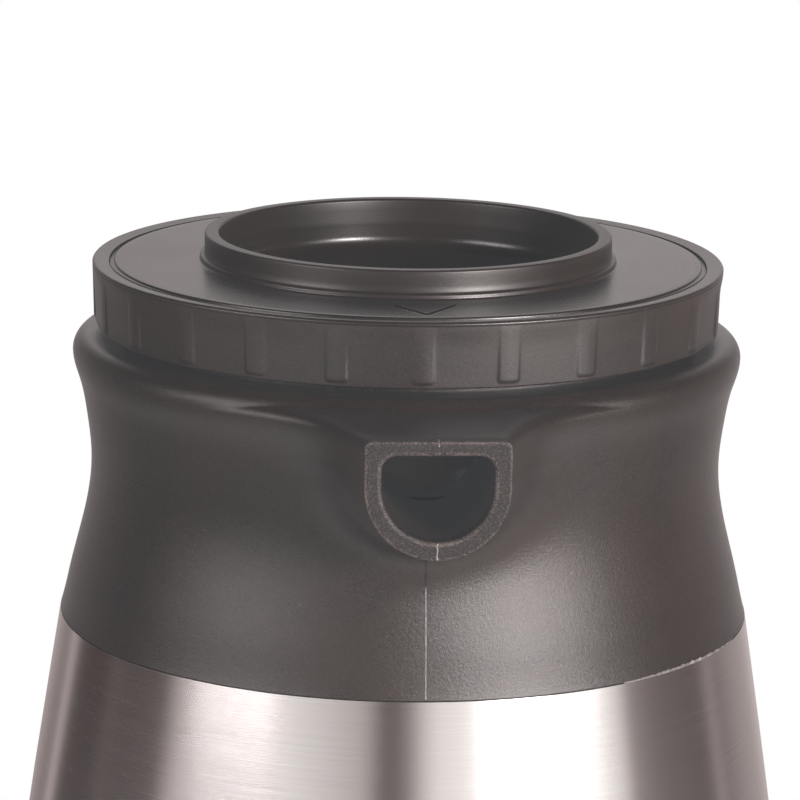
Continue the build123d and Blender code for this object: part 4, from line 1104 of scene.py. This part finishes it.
def cover_profile():
    """Closed outline of the disc, raised ring, brew cup, funnel and drain."""
    ring_r = CUP_R + CUP_WALL
    floor_z = LID_Z - CUP_FLOOR_DROP
    ledge_r = CUP_R - CUP_ROUND
    fall = tan(radians(FUNNEL_SLOPE))
    knee_z = floor_z - FUNNEL_WALL
    under_z = LID_Z - DISC_THICK
    shelf_r = LID_R - BAND_WIDTH - 0.18
    disc = [(DISC_R, under_z), (DISC_R, LID_Z - 1.1), (shelf_r, LID_Z - 0.95), (shelf_r, LID_Z - 0.62),
            (DISC_R + 0.3, LID_Z - 0.52)]
    disc += arc((DISC_R - 0.35, LID_Z - 0.4), 0.4, 0, 90, 5)
    mark_rows = np.arange(MARK_TIP_R + 0.8, MARK_TIP_R - MARK_LONG - 1.2, -0.14)
    disc += [(r, LID_Z) for r in (*mark_rows, 43.5, 42.0, 40.8)]
    foot = arc((ring_r + CUP_BEAD + 0.25, LID_Z + 0.25), 0.25, 270, 180, 3)
    bead = arc((ring_r + CUP_BEAD - 0.45, LID_Z + 0.55), 0.45, 0, 90, 4)
    wall = [(ring_r + 0.12, LID_Z + 1.02)] + [(ring_r, LID_Z + up) for up in (1.2, 2.4, 3.7)]
    rim = arc((ring_r - RIM_OUT_ROUND, CUP_TOP_Z - RIM_OUT_ROUND), RIM_OUT_ROUND, 0, 90, 5)
    rim += arc((CUP_R + RIM_IN_ROUND, CUP_TOP_Z - RIM_IN_ROUND), RIM_IN_ROUND, 90, 180, 6)
    cup = [(CUP_R, CUP_TOP_Z - 2.2), (CUP_R, CUP_TOP_Z - 4.4)]
    fillet = arc((ledge_r, floor_z + CUP_ROUND), CUP_ROUND, 360, 270, 12)
    funnel = [(r, floor_z - (ledge_r - r) * fall) for r in np.linspace(ledge_r - 0.8, DRAIN_R + 1.0, 12)]
    drain_top = floor_z - (ledge_r - DRAIN_R) * fall
    drain = arc((DRAIN_R + 1.0, drain_top - 1.0 + 0.2), 1.0, 90, 180, 5)
    tube = softened([(DRAIN_R, DRAIN_Z + 3), (DRAIN_R, DRAIN_Z), (DRAIN_R + DRAIN_WALL, DRAIN_Z),
                     (DRAIN_R + DRAIN_WALL, knee_z - (ring_r - DRAIN_R - DRAIN_WALL) * fall),
                     (ring_r, knee_z), (ring_r, under_z), (SPIGOT_R - SPIGOT_WALL, under_z),
                     (SPIGOT_R - SPIGOT_WALL, LID_Z - SPIGOT_DROP), (SPIGOT_R, LID_Z - SPIGOT_DROP),
                     (SPIGOT_R, under_z), (DISC_R - 3, under_z)], 0.3)
    cup += fillet + funnel + drain + tube[4:-4]     # the tube's first and last corner only set its ends
    return disc + foot + bead + wall + rim + cup + [(DISC_R - 0.4, under_z)]


def make_lid_cover():
    """Disc with the raised ring, the brew cup and the V mark."""
    # the disc's columns are very close together across the V mark
    angles = [*np.arange(-MARK_ANGLE, MARK_ANGLE, 0.13), *np.arange(MARK_ANGLE, 360 - MARK_ANGLE, 1.0)]
    shape = lathed(cover_profile(), angles, cover_shape)
    cover = mesh_piece("lid_disc", shape, "lid", "lid_plastic", 35.0)
    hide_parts("lid_cover")


# ---------------- CAD nodes that keep their shape
def dress_nodes():
    """Gives each CAD node the material of its slot in the record."""
    slots = {entry["node"]: entry["material_slot"] for entry in frame["record"]["subparts"]}
    for name, node in frame["nodes"].items():
        material = LOOKS[slots[name]]
        if not node.data.materials:
            node.data.materials.append(material)
        for place in node.material_slots:
            place.material = material


# ---------------- room, light and camera
def place_around(azimuth, elevation, distance):
    """Point seen from the place looked at, at angles counted from the camera's side, right and up."""
    a, e = radians(CAMERA_AZIMUTH + azimuth), radians(elevation)
    return LOOK_AT + distance * Vector((sin(a) * cos(e), -cos(a) * cos(e), sin(e)))


def soft_light(name, azimuth, elevation, width, height, radiance):
    """Rectangular softbox; radiance is the brightness of its face."""
    data = bpy.data.lights.new(name, "AREA")
    data.shape = "RECTANGLE"
    data.size, data.size_y = width, height
    data.color = LAMP_COLOUR
    data.energy = radiance * pi * width * height
    light = linked(name, data)
    light.location = place_around(azimuth, elevation, LAMP_AWAY)
    light.rotation_euler = (LOOK_AT - light.location).to_track_quat("-Z", "Y").to_euler()
    light.visible_camera = False


def seen_share(n):
    """1 for rays of the camera, of mirrors and of glass, else 0."""
    rays = n.add("LightPath").outputs
    mirrored = n.math("MAXIMUM", rays["Is Camera Ray"], rays["Is Glossy Ray"])
    return n.math("MAXIMUM", mirrored, rays["Is Transmission Ray"])


def make_world():
    """White background; rays of diffuse light get the fill level instead."""
    n = Nodes("studio", "World")
    light = n.add("Background", {"Color": (1.0, 0.99, 0.98, 1), "Strength": FILL_LEVEL})
    shown = n.add("Background", {"Color": WHITE})
    n.show_mix(seen_share(n), light, shown)
    bpy.context.scene.world = LOOKS["studio"]


def stage_mesh(name, points, faces):
    """Part of the room, not attached to any body of the jug; its points are in metres."""
    mesh = bpy.data.meshes.new(name)
    mesh.from_pydata(points, [], faces)
    mesh.materials.append(LOOKS[name])
    room = linked(name, mesh)
    return room


def make_floor():
    """Pale floor: it holds the jug's shadow close by and turns to plain white further out."""
    n = Nodes("floor")
    far = n.ramp(n.math("DIVIDE", n.around()[1], 2 * FLOOR_SHADE_R), (0.28, 0.0), (0.5, 1.0))
    near = n.add("BsdfDiffuse", {"Color": n.mix(n.noise(30.0, 3.0), grey(0.86), grey(0.9))})
    white = n.add("Emission", {"Color": WHITE, "Strength": 1.0})
    n.show_mix(n.times(far, seen_share(n)), near, white)
    corners = [polar(FLOOR_R, 360 * step / FLOOR_SIDES, 0.0) for step in range(FLOOR_SIDES)]
    stage_mesh("floor", corners, [tuple(range(FLOOR_SIDES))])


def make_wall():
    """Curved studio wall with a foot on the floor and a roof; the steel mirrors its bands."""
    n = Nodes("studio_wall")
    angle, radius, height = n.around()
    angle = n.math("SUBTRACT", angle, radians(CAMERA_AZIMUTH))
    angle = n.math("ARCTAN2", n.math("SINE", angle), n.math("COSINE", angle))
    share = n.plus(n.math("DIVIDE", angle, 2 * pi), 0.5)
    level = 0.0
    for bands, start, end in WALL_PARTS:
        part = n.ramp(share, *[((azimuth + 180) / 360, value / RAMP_TOP) for azimuth, value in bands])
        shown = n.ramp(height, (max(start - WALL_SEAM, 0.0), 0.0 if start else 1.0),
                       (start + WALL_SEAM, 1.0), (end - WALL_SEAM, 1.0), (end + WALL_SEAM, 0.0))
        level = n.plus(level, n.times(part, shown))
    tint = n.mix(n.math("MINIMUM", n.times(level, 1.6), 1.0), (1.0, 0.80, 0.79, 1), (1.0, 0.955, 0.93, 1))
    glow = n.add("Emission", {"Color": tint, "Strength": n.times(level, RAMP_TOP)})
    outline = [(WALL_FOOT_R, 0.001), (WALL_R, 0.001), (WALL_R, WALL_TALL), (0.02, ROOF_TOP)]
    rows = len(outline)
    angles = [CAMERA_AZIMUTH - 180 + 360 * step / WALL_STEPS for step in range(WALL_STEPS + 1)]
    faces = [(here - rows, here, here + 1, here + 1 - rows) for step in range(1, WALL_STEPS + 1)
             for here in range(rows * step, rows * (step + 1) - 1)]
    n.show(glow)
    wall = stage_mesh("studio_wall", lathe_points(outline, angles), faces)
    wall.visible_camera = False


def make_studio():
    """Floor, world, banded wall and softboxes."""
    make_floor()
    make_world()
    make_wall()
    for lamp in LAMPS:
        soft_light(*lamp)


def make_camera():
    """Camera of the picture."""
    data = bpy.data.cameras.new("camera")
    data.sensor_width = SENSOR
    data.lens = FOCAL_PX * SENSOR / IMAGE_SIZE
    data.shift_x = -AXIS_RIGHT_PX / IMAGE_SIZE
    camera = linked("camera", data)
    camera.location = place_around(0, CAMERA_ELEVATION, CAMERA_DISTANCE)
    look = (LOOK_AT - camera.location).to_track_quat("-Z", "Y").to_matrix().to_4x4()
    roll = Matrix.Rotation(radians(CAMERA_ROLL), 4, "Z")
    camera.matrix_world = Matrix.Translation(camera.location) @ look @ roll
    bpy.context.scene.camera = camera


def main():
    """Builds the pieces, the studio and the camera."""
    make_materials()
    dress_nodes()
    make_collar()
    make_mouth_band()
    make_parting_line()
    make_collar_burr_highlight()
    make_grip_ring()
    make_lid_cover()
    make_studio()
    make_camera()
    bpy.context.scene.view_settings.view_transform = "Standard"


main()
